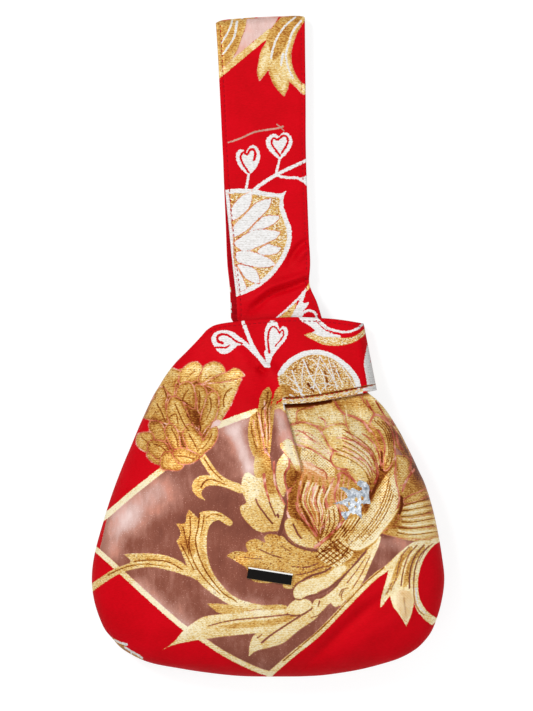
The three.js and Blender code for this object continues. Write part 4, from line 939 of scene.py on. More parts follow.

# Slow changes of tone laid over the woven shapes, most of them painted shade and painted highlights from
# the folds and the light, the rest darker or paler thread: path, reach in pixels and the change at its
# middle
toneAndPaintedShading = {
    # painted shade under the fold at the mouth
    "shadeUnderFold": ([(297, 470), (293, 490), (294, 510), (304, 526)], 6, -0.3),
    "mosaic": ([(312, 520), (326, 536), (340, 548)], 11, -0.24),
    "mosaicTwo": ([(344, 528), (356, 534), (366, 528)], 7, -0.2),
    # painted shade in the fold valley beside the foil, under the band's hem, towards the right edge and in
    # the valley beside the knuckle petal
    "valleyShadeByFoil": ([(370, 478), (368, 492), (366, 508)], 5, -0.4),
    "topRight": ([(338, 404), (360, 402), (378, 408)], 7, -0.26),
    "shadeUpperEdge": ([(398, 436), (408, 454), (414, 476)], 8, -0.22),
    "valleyShadeByKnuckle": ([(364, 424), (372, 438), (378, 456)], 4, -0.26),
    # painted highlights on the big flower's petals
    "middleHighlight": ([(340, 432), (352, 446), (366, 462)], 5, 0.16),
    "leftHighlight": ([(300, 432), (314, 440), (324, 450)], 4, 0.12),
    "throatHighlight": ([(318, 486), (316, 500), (322, 516)], 5, 0.14),
    # painted sheen on the mauve field
    "fieldSheenLeft": ([(122, 514), (140, 503), (158, 492)], 18, 0.42),
    "fieldSheenCorner": ([(110, 548), (118, 532), (130, 520)], 13, 0.34),
    "fieldSheenUpper": ([(236, 434), (243, 452), (249, 466)], 9, 0.62),
    "fieldSheenUpperTwo": ([(228, 428), (246, 421)], 8, 0.35),
    "fieldSheenStrip": ([(279, 414), (284, 432), (291, 452), (296, 464)], 7, 0.5),
    "fieldSheenLow": ([(140, 588), (160, 606), (186, 624)], 9, 0.4),
    "fieldSheenRight": ([(384, 541), (404, 546)], 8, 0.25),
    # painted shade on the mauve field and on the left flower's side, and painted highlights on its top and
    # right
    "fieldShade": ([(215, 505), (240, 530), (232, 560)], 22, -0.14),
    "flowerShade": ([(148, 402), (152, 420), (160, 445), (166, 462)], 12, -0.16),
    "flowerHighlight": ([(186, 366), (212, 368), (236, 374)], 8, 0.24),
    "flowerHighlightRight": ([(236, 392), (226, 410), (214, 424)], 9, 0.22),
    "flowerCore": ([(199, 410), (201, 432)], 7, -0.26),
    "leafPale": ([(250, 478), (254, 496)], 11, 0.26),
    "leafLow": ([(262, 520), (274, 526)], 10, -0.1),
    "labelPale": ([(234, 556), (252, 545), (268, 543)], 8, 0.2),
    "branchPale": ([(214, 588), (238, 602), (256, 606)], 9, 0.24),
    "branchDark": ([(180, 520), (186, 545)], 9, -0.16),
    "knuckleTan": ([(380, 424), (385, 436)], 9, -0.2),
    "middleTan": ([(336, 444), (346, 456)], 12, -0.12),
    # painted shade under the band's hem and in the fold valley, a painted highlight on the ridge over the
    # pale arc, which is partly paler thread, and painted shade along the right edge
    "shadeUnderBand": ([(300, 410), (340, 405), (366, 404)], 8, -0.14),
    "valley": ([(388, 470), (380, 482), (374, 494)], 8, -0.36),
    "valleyFoot": ([(401, 500), (396, 520), (386, 533)], 6, -0.34),
    "arcPaleAndHighlight": ([(394, 492), (388, 510), (372, 530), (358, 542)], 8, 0.22),
    "shadeRightEdge": ([(398, 430), (414, 462), (424, 488), (432, 510)], 7, -0.34),
    "rightPale": ([(413, 512), (416, 522), (418, 532)], 9, 0.2),
    "lowGridDark": ([(336, 528), (330, 538)], 9, -0.2),
    "clusterPale": ([(388, 584), (402, 612)], 12, 0.1),
    "strapTopDeep": ([(296, 24), (288, 40), (268, 66)], 9, -0.1),
}
threadKinds = ("mauve", "gold", "rose", "white", "silver")
furReach = 4.0
# How shapes are laid: the overlap under the threads above, the soft edge of a tone and the paling of a
# rimmed petal from its edge inwards, in pixels; then the steps of a closed outline and a drift's reach. The
# paling is painted shading that rounds each rimmed petal, over the deeper thread by its edge
laying = {"tuck": 0.6, "soft": 0.5, "paintedDomeReach": 4, "paintedDomeRise": 0.3, "paintedDomeDrop": 0.17, "loopSteps": 45,
          "finest": 0.8, "coarsest": 3.5, "driftReach": 2.5}
# the large flower starts here on the short handle's half, and each handle's own pattern ends here
patternEnds = {"flower": 471, "strap": 330, "band": 412}


def gapToLine(spots, line, half):
    start, run = line[:-1], line[1:] - line[:-1]
    long = np.maximum((run ** 2).sum(1), 1e-9)
    gaps = np.empty(len(spots))
    for low in range(0, len(spots), 8000):
        part = spots[low:low + 8000, None]
        along = np.clip(((part - start) * run).sum(2) / long, 0, 1)
        away = np.linalg.norm(part - start - along[..., None] * run, axis=2)
        gaps[low:low + 8000] = (away - half[:-1] - along * (half[1:] - half[:-1])).min(1)
    return gaps


def gapToLoop(spots, loop):
    gaps = gapToLine(spots, np.r_[loop, loop[:1]], np.zeros(len(loop) + 1))
    return np.where(insideOf(spots, loop), -gaps, gaps)


def lay(cloths, near, gap, kind, tone, group):
    # weave one shape over what is there: its own thread wins inside it
    if kind == "rust":
        kind, tone = "gold", -0.6 + tone * 0.5
    rank = threadKinds.index(kind) if kind in threadKinds else -1
    beside = np.zeros(len(near), bool)
    for place, name in enumerate(threadKinds):
        if place == rank:
            continue
        if place > rank:
            beside |= cloths[name][near] < 0
        tuck = laying["tuck"] if place < rank else 0
        cloths[name][near] = np.maximum(cloths[name][near], -gap - tuck)
    if rank >= 0:
        cloths[kind][near] = np.minimum(cloths[kind][near], gap - laying["tuck"] * beside)
    share = ease(laying["soft"], -laying["soft"], gap)
    # painted shading: a rimmed petal pales from its edge inwards, as if rounded, over the deeper thread by
    # its edge
    if "rim" in group:
        tone = tone + laying["paintedDomeRise"] * ease(-0.2, -laying["paintedDomeReach"], gap) - laying["paintedDomeDrop"]
    values = {"tone": tone, "gauze": group.get("gauze", 0), "warm": group.get("warm", 0),
              "fleckAndGlint": group.get("fleckAndGlint", 0.15)}
    for name, value in values.items():
        cloths[name][near] += (value - cloths[name][near]) * share


def fanned(first, last, count):
    # lines spread between two guides, each a little shorter or longer than its neighbour
    guides = []
    for guide in (first, last):
        line = curveThrough(guide)
        marks = np.linspace(0, len(line) - 1, 24)
        guides.append(np.stack([np.interp(marks, np.arange(len(line)), line[:, k]) for k in (0, 1)], 1))
    lines = []
    for i in range(count):
        share = (i + 0.5) / count
        line = guides[0] * (1 - share) + guides[1] * share
        lines.append(line[i * 5 % 4:24 - i * 7 % 5])
    return lines


def weaveGroup(cloths, spots, group):
    shapes = []
    for loop in group.get("loops", {}).values():
        spread = np.ptp(np.array([p[:2] for p in loop], float), axis=0).max()
        step = np.clip(spread / laying["loopSteps"], laying["finest"], laying["coarsest"])
        shapes.append((curveThrough(loop, closed=True, step=step), None))
    for points, first, last in group.get("lines", {}).values():
        line = curveThrough(points, step=2.0)
        shapes.append((line, np.linspace(first, last, len(line)) / 2))
    for first, last, count, wide, thin in group.get("fans", {}).values():
        for line in fanned(first, last, count):
            shapes.append((line, np.linspace(wide, thin, len(line)) / 2))
    for line, half in shapes:
        reach = furReach + (0 if half is None else half.max())
        near = np.flatnonzero(np.all((spots > line.min(0) - reach) & (spots < line.max(0) + reach), axis=1))
        if not len(near):
            continue
        gap = gapToLoop(spots[near], line) if half is None else gapToLine(spots[near], line, half)
        gap = np.clip(gap, -furReach, furReach)
        if "rim" in group:
            lay(cloths, near, gap - group["rim"], "rose", 0.55, {})
        lay(cloths, near, gap, group["kind"], group["tone"], group)


def weaveOf(spots, handle):
    cloths = {name: np.full(len(spots), furReach) for name in threadKinds}
    cloths.update({"tone": np.full(len(spots), 0.5), "gauze": np.zeros(len(spots)),
                   "warm": np.zeros(len(spots)), "fleckAndGlint": np.zeros(len(spots))})
    everywhere = np.ones(len(spots), bool)
    if handle == "long":
        flowerPart, handlePart = everywhere, spots[:, 1] < patternEnds["strap"]
        handlePattern = strapPattern
    else:
        flowerPart, handlePart = spots[:, 1] > patternEnds["flower"], spots[:, 1] < patternEnds["band"]
        handlePattern = bandPattern
    cluster = [name for name in pattern if name.startswith("rightCluster")]
    steps = [({name: group for name, group in pattern.items() if name not in cluster}, everywhere),
             (bigFlower, flowerPart),
             ({name: pattern[name] for name in cluster}, everywhere),
             (handlePattern, handlePart)]
    for groups, part in steps:
        chosen = np.flatnonzero(part)
        held = {name: values[chosen] for name, values in cloths.items()}
        for group in groups.values():
            weaveGroup(held, spots[chosen], group)
        for name, values in held.items():
            cloths[name][chosen] = values
    for points, width, change in toneAndPaintedShading.values():
        line = curveThrough(points)
        reach = laying["driftReach"] * width
        near = np.flatnonzero(np.all((spots > line.min(0) - reach) & (spots < line.max(0) + reach), axis=1))
        if len(near):
            gap = gapToLine(spots[near], line, np.zeros(len(line)))
            cloths["tone"][near] += change * np.exp(-(gap / width) ** 2) * (cloths["tone"][near] > -0.1)
    return cloths


def node(tree, kind, inputs=None, **settings):
    made = tree.nodes.new(kind)
    for key, value in settings.items():
        setattr(made, key, value)
    for key, value in (inputs or {}).items():
        if isinstance(value, bpy.types.NodeSocket):
            tree.links.new(value, made.inputs[key])
        else:
            made.inputs[key].default_value = value
    return made


def calc(tree, operation, *values):
    made = node(tree, "ShaderNodeMath", dict(enumerate(values)), operation=operation)
    return made.outputs[0]


def addUp(tree, first, *others):
    for other in others:
        first = calc(tree, "ADD", first, other)
    return first


def swing(tree, value, amount):
    # a value around a half, turned into a change around zero
    return calc(tree, "MULTIPLY_ADD", value, amount, -amount / 2)


def between(tree, value, low, high, first=0.0, last=1.0):
    inputs = {"Value": value, "From Min": low, "From Max": high, "To Min": first, "To Max": last}
    return node(tree, "ShaderNodeMapRange", inputs, interpolation_type="SMOOTHSTEP").outputs["Result"]


def blend(tree, share, first, second):
    return node(tree, "ShaderNodeMix", {0: share, 6: first, 7: second}, data_type="RGBA").outputs[2]


def grain(tree, place, scale, detail=1.0, stretch=(1, 1, 1)):
    spread = node(tree, "ShaderNodeMapping", {"Vector": place, "Scale": stretch})
    made = node(tree, "ShaderNodeTexNoise", {"Vector": spread.outputs[0], "Scale": scale, "Detail": detail})
    return made.outputs["Fac"]


def dye(red, green, blue):
    # a colour as it is seen, in the light units that the shader takes
    values = [v / 255 for v in (red, green, blue)]
    return (*[v / 12.92 if v <= 0.04045 else ((v + 0.055) / 1.055) ** 2.4 for v in values], 1)


def shades(tree, share, stops):
    made = node(tree, "ShaderNodeValToRGB", {"Fac": share})
    ramp = made.color_ramp
    for i, (place, colour) in enumerate(stops):
        stop = ramp.elements[i] if i < 2 else ramp.elements.new(place)
        stop.position = place
        stop.color = dye(*colour)
    return made.outputs["Color"]


threads = {
    "pitch": 0.00125, "gauzePitch": 0.00145, "liningPitch": 0.0009, "edgeGrain": 1000,
    "edgeSway": 1.9, "edgeSoft": 0.24,
    "ground": [(0.2, (184, 0, 10)), (0.55, (208, 0, 18)), (0.85, (220, 2, 26))],
    "mauve": [(0.0, (112, 60, 48)), (0.3, (140, 82, 66)), (0.6, (188, 134, 118)), (1.0, (240, 212, 206))],
    "gold": [(0.0, (100, 40, 10)), (0.2, (150, 84, 28)), (0.38, (190, 130, 56)), (0.56, (219, 172, 90)),
             (0.74, (236, 206, 136)), (1.0, (254, 242, 206))],
    "warm": [(0.0, (130, 48, 14)), (0.4, (212, 120, 62)), (0.7, (236, 168, 118)), (1.0, (252, 224, 192))],
    "rose": [(0.1, (158, 56, 36)), (0.5, (214, 122, 98)), (0.85, (247, 202, 186))],
    "white": [(0.15, (190, 184, 178)), (0.5, (228, 226, 224)), (0.9, (248, 248, 248))],
    "silver": [(0.3, (140, 150, 162)), (0.5, (196, 203, 212)), (0.72, (244, 247, 250))],
}


def startMaterial(name):
    material = bpy.data.materials.new(name)
    material.use_nodes = True
    tree = material.node_tree
    place = node(tree, "ShaderNodeTexCoord").outputs["Object"]
    return material, tree, tree.nodes["Principled BSDF"], place


def brocadeMaterial():
    material, tree, shader, place = startMaterial("brocade")
    axes = node(tree, "ShaderNodeSeparateXYZ", {0: place})
    stored = []
    for name in ("goldwork", "silverwork", "weaving"):
        kept = node(tree, "ShaderNodeAttribute", attribute_name=name)
        stored += list(node(tree, "ShaderNodeSeparateXYZ", {0: kept.outputs["Vector"]}).outputs)
    gaps = dict(zip(threadKinds, stored[:5]))
    tone, gauze, warm, fleckAndGlint = stored[5:]
    edge = calc(tree, "MULTIPLY", calc(tree, "SUBTRACT", grain(tree, place, threads["edgeGrain"]), 0.5),
                threads["edgeSway"])
    masks = {name: between(tree, calc(tree, "ADD", gap, edge), threads["edgeSoft"], -threads["edgeSoft"])
             for name, gap in gaps.items()}
    fine = grain(tree, place, 1900, 2.0)
    streak = grain(tree, place, 420, 2.0, (1, 3.2, 1))
    slow = grain(tree, place, 45, 2.0)
    turn = 2 * math.pi / threads["pitch"]
    sway = calc(tree, "MULTIPLY", slow, 9.0)
    rows = calc(tree, "SINE", calc(tree, "MULTIPLY_ADD", axes.outputs["Y"], turn, sway))
    turn = 2 * math.pi / threads["gauzePitch"] * 0.7071
    slantUp = calc(tree, "MULTIPLY", calc(tree, "ADD", axes.outputs["X"], axes.outputs["Y"]), turn)
    slantDown = calc(tree, "MULTIPLY", calc(tree, "SUBTRACT", axes.outputs["X"], axes.outputs["Y"]), turn)
    lattices = [between(tree, calc(tree, "SINE", slant), -0.7, 0.5) for slant in (slantUp, slantDown)]
    netting = calc(tree, "MAXIMUM", *lattices)
    holes = calc(tree, "MULTIPLY", calc(tree, "SUBTRACT", 1.0, netting), gauze)

    groundShade = calc(tree, "ADD", calc(tree, "MULTIPLY", streak, 0.5), calc(tree, "MULTIPLY", slow, 0.5))
    colour = shades(tree, groundShade, threads["ground"])

    satin = grain(tree, place, 260, 3.0, (1.5, 0.35, 1))
    drift = grain(tree, place, 75, 3.0, (1, 0.8, 1))
    sparks = between(tree, grain(tree, place, 1500, 0.0), 0.72, 0.8, 0.0, 0.3)
    mauveTone = addUp(tree, tone, swing(tree, satin, 0.24), swing(tree, drift, 0.5), sparks,
                      swing(tree, fine, 0.2))
    mauve = shades(tree, mauveTone, threads["mauve"])
    paler = between(tree, mauveTone, 0.35, 0.7, 0.0, 0.55)
    blush = calc(tree, "MULTIPLY", between(tree, drift, 0.42, 0.7), paler)
    mauve = blend(tree, blush, mauve, dye(216, 134, 108))
    colour = blend(tree, masks["mauve"], colour, mauve)

    grit = grain(tree, place, 840, 1.0, (0.75, 1.6, 1))
    cloud = grain(tree, place, 95, 2.0)
    goldTone = addUp(tree, calc(tree, "MULTIPLY_ADD", tone, 0.74, 0.2), calc(tree, "MULTIPLY", rows, 0.07),
                     swing(tree, fine, 0.5), swing(tree, grit, 0.8), swing(tree, streak, 0.36),
                     swing(tree, cloud, 0.5))
    goldTone = calc(tree, "SUBTRACT", goldTone, calc(tree, "MULTIPLY", holes, 0.44))
    gold = shades(tree, goldTone, threads["gold"])
    gold = blend(tree, warm, gold, shades(tree, goldTone, threads["warm"]))
    pits = between(tree, grain(tree, place, 820, 0.0), 0.66, 0.73)
    gold = blend(tree, calc(tree, "MULTIPLY", pits, calc(tree, "MINIMUM", fleckAndGlint, 0.8)),
                 gold, dye(126, 50, 24))
    # painted glints: near-white specks on the richest gold stand for its metal thread catching the light;
    # the dark pits above are flecks in the thread
    paintedGlints = between(tree, grain(tree, place, 1000, 1.0, (0.8, 1.2, 1)), 0.53, 0.6)
    rich = between(tree, fleckAndGlint, 0.85, 0.95)
    gold = blend(tree, calc(tree, "MULTIPLY", paintedGlints, rich), gold, dye(246, 236, 206))
    colour = blend(tree, masks["gold"], colour, gold)

    roseBase = calc(tree, "MULTIPLY_ADD", tone, 0.4, -0.68)
    roseTone = calc(tree, "MULTIPLY_ADD", grain(tree, place, 150, 2.0), 1.9, roseBase)
    colour = blend(tree, masks["rose"], colour, shades(tree, roseTone, threads["rose"]))
    whiteTone = calc(tree, "MULTIPLY_ADD", rows, 0.14, calc(tree, "MULTIPLY_ADD", grit, 1.0, 0.06))
    colour = blend(tree, masks["white"], colour, shades(tree, whiteTone, threads["white"]))
    # the foil's crumple raises its bump and, as painted reflection, turns its colour from grey to near
    # white
    crumpleAndReflection = grain(tree, place, 330, 3.0)
    colour = blend(tree, masks["silver"], colour, shades(tree, crumpleAndReflection, threads["silver"]))

    metal = addUp(tree, calc(tree, "MULTIPLY", masks["gold"], 0.25),
                  calc(tree, "MULTIPLY", masks["silver"], 0.5))
    shine = addUp(tree, calc(tree, "MULTIPLY", masks["gold"], 0.18),
                  calc(tree, "MULTIPLY", masks["silver"], 0.3))
    matt = calc(tree, "SUBTRACT", 0.62, shine)
    matt = calc(tree, "SUBTRACT", matt, calc(tree, "MULTIPLY", masks["mauve"], 0.16))
    raised = calc(tree, "ADD", masks["gold"], calc(tree, "MULTIPLY", masks["white"], 0.8))
    relief = calc(tree, "MULTIPLY", raised, calc(tree, "MULTIPLY_ADD", rows, 0.045, 0.12))
    relief = calc(tree, "ADD", relief, calc(tree, "MULTIPLY", fine, 0.09))
    relief = calc(tree, "SUBTRACT", relief, calc(tree, "MULTIPLY", holes, 0.1))
    foilRelief = calc(tree, "MULTIPLY", calc(tree, "MULTIPLY", crumpleAndReflection, masks["silver"]), 0.9)
    relief = calc(tree, "ADD", relief, foilRelief)
    bump = node(tree, "ShaderNodeBump", {"Height": relief, "Strength": 0.7, "Distance": 0.001})
    shader.inputs["Specular IOR Level"].default_value = 0.06
    for key, value in (("Base Color", colour), ("Metallic", metal), ("Roughness", matt),
                       ("Normal", bump.outputs[0])):
        tree.links.new(value, shader.inputs[key])
    return material


def liningMaterial():
    material, tree, shader, place = startMaterial("lining")
    axes = node(tree, "ShaderNodeSeparateXYZ", {0: place})
    turn = 2 * math.pi / threads["liningPitch"]
    weft = calc(tree, "SINE", calc(tree, "MULTIPLY", axes.outputs["Y"], turn))
    warp = calc(tree, "SINE", calc(tree, "MULTIPLY", axes.outputs["X"], turn))
    plain = calc(tree, "MULTIPLY", weft, warp)
    slub = grain(tree, place, 500, 2.0, (0.4, 2.2, 1))
    share = calc(tree, "MULTIPLY_ADD", plain, 0.12, slub)
    red = shades(tree, share, [(0.25, (150, 2, 14)), (0.75, (196, 6, 24))])
    tree.links.new(red, shader.inputs["Base Color"])
    shader.inputs["Roughness"].default_value = 0.75
    shader.inputs["Specular IOR Level"].default_value = 0.06
    bump = node(tree, "ShaderNodeBump", {"Height": plain, "Strength": 0.3, "Distance": 0.0002})
    tree.links.new(bump.outputs[0], shader.inputs["Normal"])
    return material


def plateMaterial():
    # glossy black enamel over a polished edge
    material, tree, shader, place = startMaterial("plate")
    facing = node(tree, "ShaderNodeSeparateXYZ", {0: node(tree, "ShaderNodeNewGeometry").outputs["Normal"]})
    flat = between(tree, facing.outputs["Z"], 0.8, 0.93)
    scuffs = grain(tree, place, 700, 3.0, (1, 5, 1))
    enamel = shades(tree, scuffs, [(0.3, (12, 10, 9)), (0.75, (22, 19, 17))])
    # the long edge nearer the handles catches the light, in a band this wide
    litWidth = 0.001
    axes = node(tree, "ShaderNodeSeparateXYZ", {0: place})
    across = calc(tree, "ADD", calc(tree, "MULTIPLY", axes.outputs["X"], float(plateAcross[0])),
                  calc(tree, "MULTIPLY", axes.outputs["Y"], float(plateAcross[1])))
    lit = between(tree, across, plateRim - litWidth - 0.0002, plateRim - litWidth)
    enamel = blend(tree, lit, enamel, dye(250, 248, 244))
    tree.links.new(blend(tree, flat, dye(206, 178, 132), enamel), shader.inputs["Base Color"])
    metal = calc(tree, "SUBTRACT", 0.9, calc(tree, "MULTIPLY", flat, 0.88))
    tree.links.new(metal, shader.inputs["Metallic"])
    shader.inputs["Specular IOR Level"].default_value = 0.14
    tree.links.new(calc(tree, "MULTIPLY_ADD", scuffs, 0.12, 0.2), shader.inputs["Roughness"])
    return material


def threadMaterial():
    material, tree, shader, place = startMaterial("stitching")
    twist = grain(tree, place, 2600, 1.0)
    red = shades(tree, twist, [(0.3, (150, 6, 20)), (0.7, (206, 26, 40))])
    tree.links.new(red, shader.inputs["Base Color"])
    shader.inputs["Roughness"].default_value = 0.7
    shader.inputs["Specular IOR Level"].default_value = 0.05
    return material


def lattice(loop, spacing, margin):
    low, high = loop.min(0), loop.max(0)
    rows = np.arange(low[1], high[1], spacing * 0.866)
    spots = []
    for i, y in enumerate(rows):
        xs = np.arange(low[0] + (i % 2) * spacing / 2, high[0], spacing)
        spots.append(np.stack([xs, np.full(len(xs), y)], 1))
    spots = np.concatenate(spots)
    spots = spots[insideOf(spots, loop)]
    return spots[nearestGap(spots, evenSteps(np.r_[loop, loop[:1]], 0.5)) > margin]


def triangulate(loop, inner):
    points = [Vector(p) for p in np.r_[loop, inner]]
    edges = [(i, (i + 1) % len(loop)) for i in range(len(loop))]
    spots, _, faces, source, _, _ = delaunay_2d_cdt(points, edges, [], 1, 1e-7)
    return np.array([tuple(p) for p in spots]), faces, source


def ringNormals(loop):
    ahead = np.roll(loop, -1, axis=0) - np.roll(loop, 1, axis=0)
    area = np.sum(loop[:, 0] * np.roll(loop[:, 1], -1) - np.roll(loop[:, 0], -1) * loop[:, 1])
    inward = np.stack([-ahead[:, 1], ahead[:, 0]], 1) * np.sign(area)
    return inward / np.linalg.norm(inward, axis=1)[:, None]


def panelLoop(handle, face, step):
    # the closed outline of half a panel, with the joined middle line left straight
    if handle == "short":
        parts = ["leftSide", "bandTop"]
        ring = [evenSteps(curveThrough(outline[name]), step)[:-1] for name in parts]
        ring.append(evenSteps(np.array([bandFold["top"], bandFold["bottom"]], float), step)[:-1])
        ring.append(evenSteps(curveThrough(outline["bandBottom"])[::-1], step)[:-1])
        ring.append(evenSteps(curveThrough(outline["mouth"])[::-1], step)[:-1])
    else:
        strapLeft = outline["strapLeft"]["front" if face > 0 else "back"]
        lines = [outline["rightSide"], outline["hiddenSide"], outline["strapRight"], outline["strapTop"]]
        ring = [evenSteps(curveThrough(line), step)[:-1] for line in lines]
        ring.append(evenSteps(curveThrough(strapLeft)[::-1], step)[:-1])
        hidden = outline["hiddenMouth"] if face > 0 else outline["hiddenMouth"][:-1] + [strapLeft[0]]
        ring.append(evenSteps(curveThrough(hidden)[::-1], step)[:-1])
    ring.append(evenSteps(np.array(outline["middle"], float)[::-1], step)[:-1])
    return np.concatenate(ring)


def storeWeave(mesh, outer, handle, face, outerRing, innerRing):
    # the back repeats the front's weave, turned over, and the rim takes the weave of the edge beside it
    pixels = toPixels(outer)
    if face < 0:
        pixels[:, 0] = 2 * photo["middle"][0] - pixels[:, 0]
    cloths = weaveOf(pixels, handle)
    count = len(outer)
    stored = {"goldwork": ("mauve", "gold", "rose"), "silverwork": ("white", "silver", "tone"),
              "weaving": ("gauze", "warm", "fleckAndGlint")}
    for label, names in stored.items():
        values = np.zeros((len(mesh.vertices), 3))
        values[:count] = np.stack([cloths[key] for key in names], 1)
        values[count:] = [furReach if key in threadKinds else 0 for key in names]
        for place, spot in innerRing.items():
            values[spot + count] = values[outerRing[place]]
        mesh.attributes.new(label, "FLOAT_VECTOR", "POINT").data.foreach_set("vector", values.ravel())


def finishMesh(mesh, middleX):
    # faces turned outwards, and no smoothing over the middle line where the two halves meet
    make = bmesh.new()
    make.from_mesh(mesh)
    bmesh.ops.recalc_face_normals(make, faces=make.faces)
    make.edges.ensure_lookup_table()
    middle = toPlan(middleX, 0)[0]
    for edge in make.edges:
        if all(abs(v.co.x - middle) < 1e-5 for v in edge.verts):
            edge.smooth = False
    make.to_mesh(mesh)
    make.free()


def innerHeights(x, y, handle, face):
    # the inner side lies one thickness behind the outer one, measured square to its slope
    step = 0.5
    steepness = 1
    for alongX, alongY in ((step, 0), (0, step)):
        ahead = heightOf(x + alongX, y + alongY, handle, face)
        behind = heightOf(x - alongX, y - alongY, handle, face)
        steepness = steepness + ((ahead - behind) / (2 * step * photo["pixelMm"])) ** 2
    drop = cloth["thickness"] * np.minimum(np.sqrt(steepness), 3)
    height = heightOf(x, y, handle, face) - face * drop
    seam = seamOf(y) + face * cloth["seamGap"]
    return np.maximum(height, seam) if face > 0 else np.minimum(height, seam)


def outerHeights(x, y, handle, face, edgeGap):
    # rounded at free edges, hemmed along the band's lower edge and drawn in by the topstitching
    rim = np.clip(edgeGap / cloth["edgeRound"], 0, 1)
    height = heightOf(x, y, handle, face)
    height -= face * cloth["thickness"] / 2 * (1 - np.sqrt(1 - (1 - rim) ** 2))
    if handle == "short" and face > 0:
        hemLine = curveThrough(outline["bandBottom"])
        fromHem = gapToLine(np.stack([x, y], 1), hemLine, np.zeros(len(hemLine)))
        height += face * hem["height"] * np.exp(-((fromHem - hem["inset"]) / hem["width"]) ** 2)
    dent = np.exp(-((edgeGap - stitch["inset"]) / stitch["dentWidth"]) ** 2)
    height -= face * stitch["dent"] * dent * ease(484, 470, y)
    return height


def solidPoints(x, y, height):
    planX, planY = toPlan(x, y)
    return np.stack([planX, planY, height / 1000], 1)


def clothPiece(name, handle, face, spacing, materials):
    # a closed sheet: fine outer face, rounded rim and a coarse inner face in lining cloth
    loop = panelLoop(handle, face, spacing)
    middleX = outline["middle"][0][0]
    onMiddle = (np.abs(loop[:, 0] - middleX) < 0.02) & (loop[:, 1] > mouthEndY - 0.1)
    onSlit = ((np.abs(loop[:, 0] - mouthAt(loop[:, 1])) < 0.6)
              | (np.abs(loop[:, 0] - hiddenAt(loop[:, 1])) < 0.6)) & (loop[:, 1] < mouthEndY)
    freedom = opened(loop[:, 0], loop[:, 1])
    freedom = np.where(onSlit | (loop[:, 1] < bandY), 1, freedom)
    inward = ringNormals(loop)
    bands = [loop[~onMiddle] + inward[~onMiddle] * step for step in cloth["edgeBands"]]
    filling = lattice(loop, spacing, cloth["edgeBands"][-1] + spacing * 0.6)
    spots, faces, source = triangulate(loop, np.concatenate(bands + [filling]))
    edgeGap = nearestGap(spots, loop[(freedom > 0.5) & ~onMiddle])
    outer = solidPoints(*spots.T, outerHeights(*spots.T, handle, face, edgeGap))
    inset = cloth["seamInset"] * (1 - freedom) * ~onMiddle + cloth["freeInset"] * freedom * ~onMiddle
    innerLoop = loop + inward * inset[:, None]
    filling = lattice(innerLoop, cloth["liningSpacing"], 5)
    innerSpots, innerFaces, innerSource = triangulate(innerLoop, filling)
    inner = solidPoints(*innerSpots.T, innerHeights(*innerSpots.T, handle, face))

    count = len(outer)
    outerRing, innerRing = ({origin: i for i, origins in enumerate(sources) for origin in origins
                             if origin < len(loop)} for sources in (source, innerSource))
    polygons = [tuple(f) if face > 0 else tuple(f)[::-1] for f in faces]
    innerPolygons = [tuple(i + count for i in (f[::-1] if face > 0 else f)) for f in innerFaces]
    turn = np.sum(loop[:, 0] * np.roll(loop[:, 1], -1) - np.roll(loop[:, 0], -1) * loop[:, 1]) > 0
    walls = []
    for i in range(len(loop)):
        j = (i + 1) % len(loop)
        quad = (outerRing[i], outerRing[j], innerRing[j] + count, innerRing[i] + count)
        walls.append(quad if turn == (face > 0) else quad[::-1])
    mesh = bpy.data.meshes.new(name)
    mesh.from_pydata([tuple(p) for p in np.r_[outer, inner]], [], polygons + innerPolygons + walls)
    mesh.update()
    slots = np.repeat([0, 1, 0], [len(polygons), len(innerPolygons), len(walls)]).astype(np.int32)
    for material in materials:
        mesh.materials.append(material)
    mesh.polygons.foreach_set("material_index", slots)
    mesh.polygons.foreach_set("use_smooth", np.ones(len(mesh.polygons), bool))
    storeWeave(mesh, outer, handle, face, outerRing, innerRing)
    piece = bpy.data.objects.new(name, mesh)
    bpy.context.scene.collection.objects.link(piece)
    finishMesh(mesh, middleX)
    print(name, len(mesh.vertices), "vertices", len(mesh.polygons), "faces")
    return piece


def insetLine(points, inset):
    # a line beside another, to the right of the way it runs
    line = evenSteps(curveThrough(points), 1.0)
    run = np.gradient(line, axis=0)
    run /= np.linalg.norm(run, axis=1)[:, None]
    return line + np.stack([-run[:, 1], run[:, 0]], 1) * inset


def sewn(name, face, material):
    # topstitching: one long bead of thread for each stitch
    side = "front" if face > 0 else "back"
    seams = {
        "strapLeft": ("long", insetLine(outline["strapLeft"][side], stitch["inset"])),
        "strapRight": ("long", insetLine(outline["strapRight"], -stitch["inset"] + 0.5)),
        "bandTop": ("short", insetLine(outline["bandTop"], stitch["inset"] - 0.4)),
        "bandBottom": ("short", insetLine(outline["bandBottom"], -stitch["inset"] - 1.1)),
    }
    make = bmesh.new()
    for handle, line in seams.values():
        steps = np.r_[0, np.cumsum(np.linalg.norm(np.diff(line, axis=0), axis=1))]
        for start in np.arange(1.5, steps[-1] - stitch["length"] - 1, stitch["length"] + stitch["gap"]):
            marks = [start, start + stitch["length"]]
            ends = np.stack([np.interp(marks, steps, line[:, k]) for k in (0, 1)], 1)
            if handle == "long" and ends[:, 1].max() > bandY + 4:
                continue
            heights = heightOf(*ends.T, handle, face) + face * (stitch["proud"] - stitch["dent"])
            spots = [Vector(p) for p in solidPoints(*ends.T, np.maximum(heights, 0.35))]
            run = spots[1] - spots[0]
            along = run.to_track_quat("X", "Z").to_matrix().to_4x4()
            place = Matrix.Translation((spots[0] + spots[1]) / 2) @ along
            thick = stitch["width"] * photo["pixel"] / 2
            size = Matrix.Diagonal((run.length / 2, thick, thick * 0.7, 1))
            bmesh.ops.create_icosphere(make, subdivisions=1, radius=1, matrix=place @ size)
    mesh = bpy.data.meshes.new(name)
    make.to_mesh(mesh)
    make.free()
    mesh.polygons.foreach_set("use_smooth", np.ones(len(mesh.polygons), bool))
    mesh.materials.append(material)
    piece = bpy.data.objects.new(name, mesh)
    bpy.context.scene.collection.objects.link(piece)
    print(name, len(mesh.polygons), "faces")
    return piece


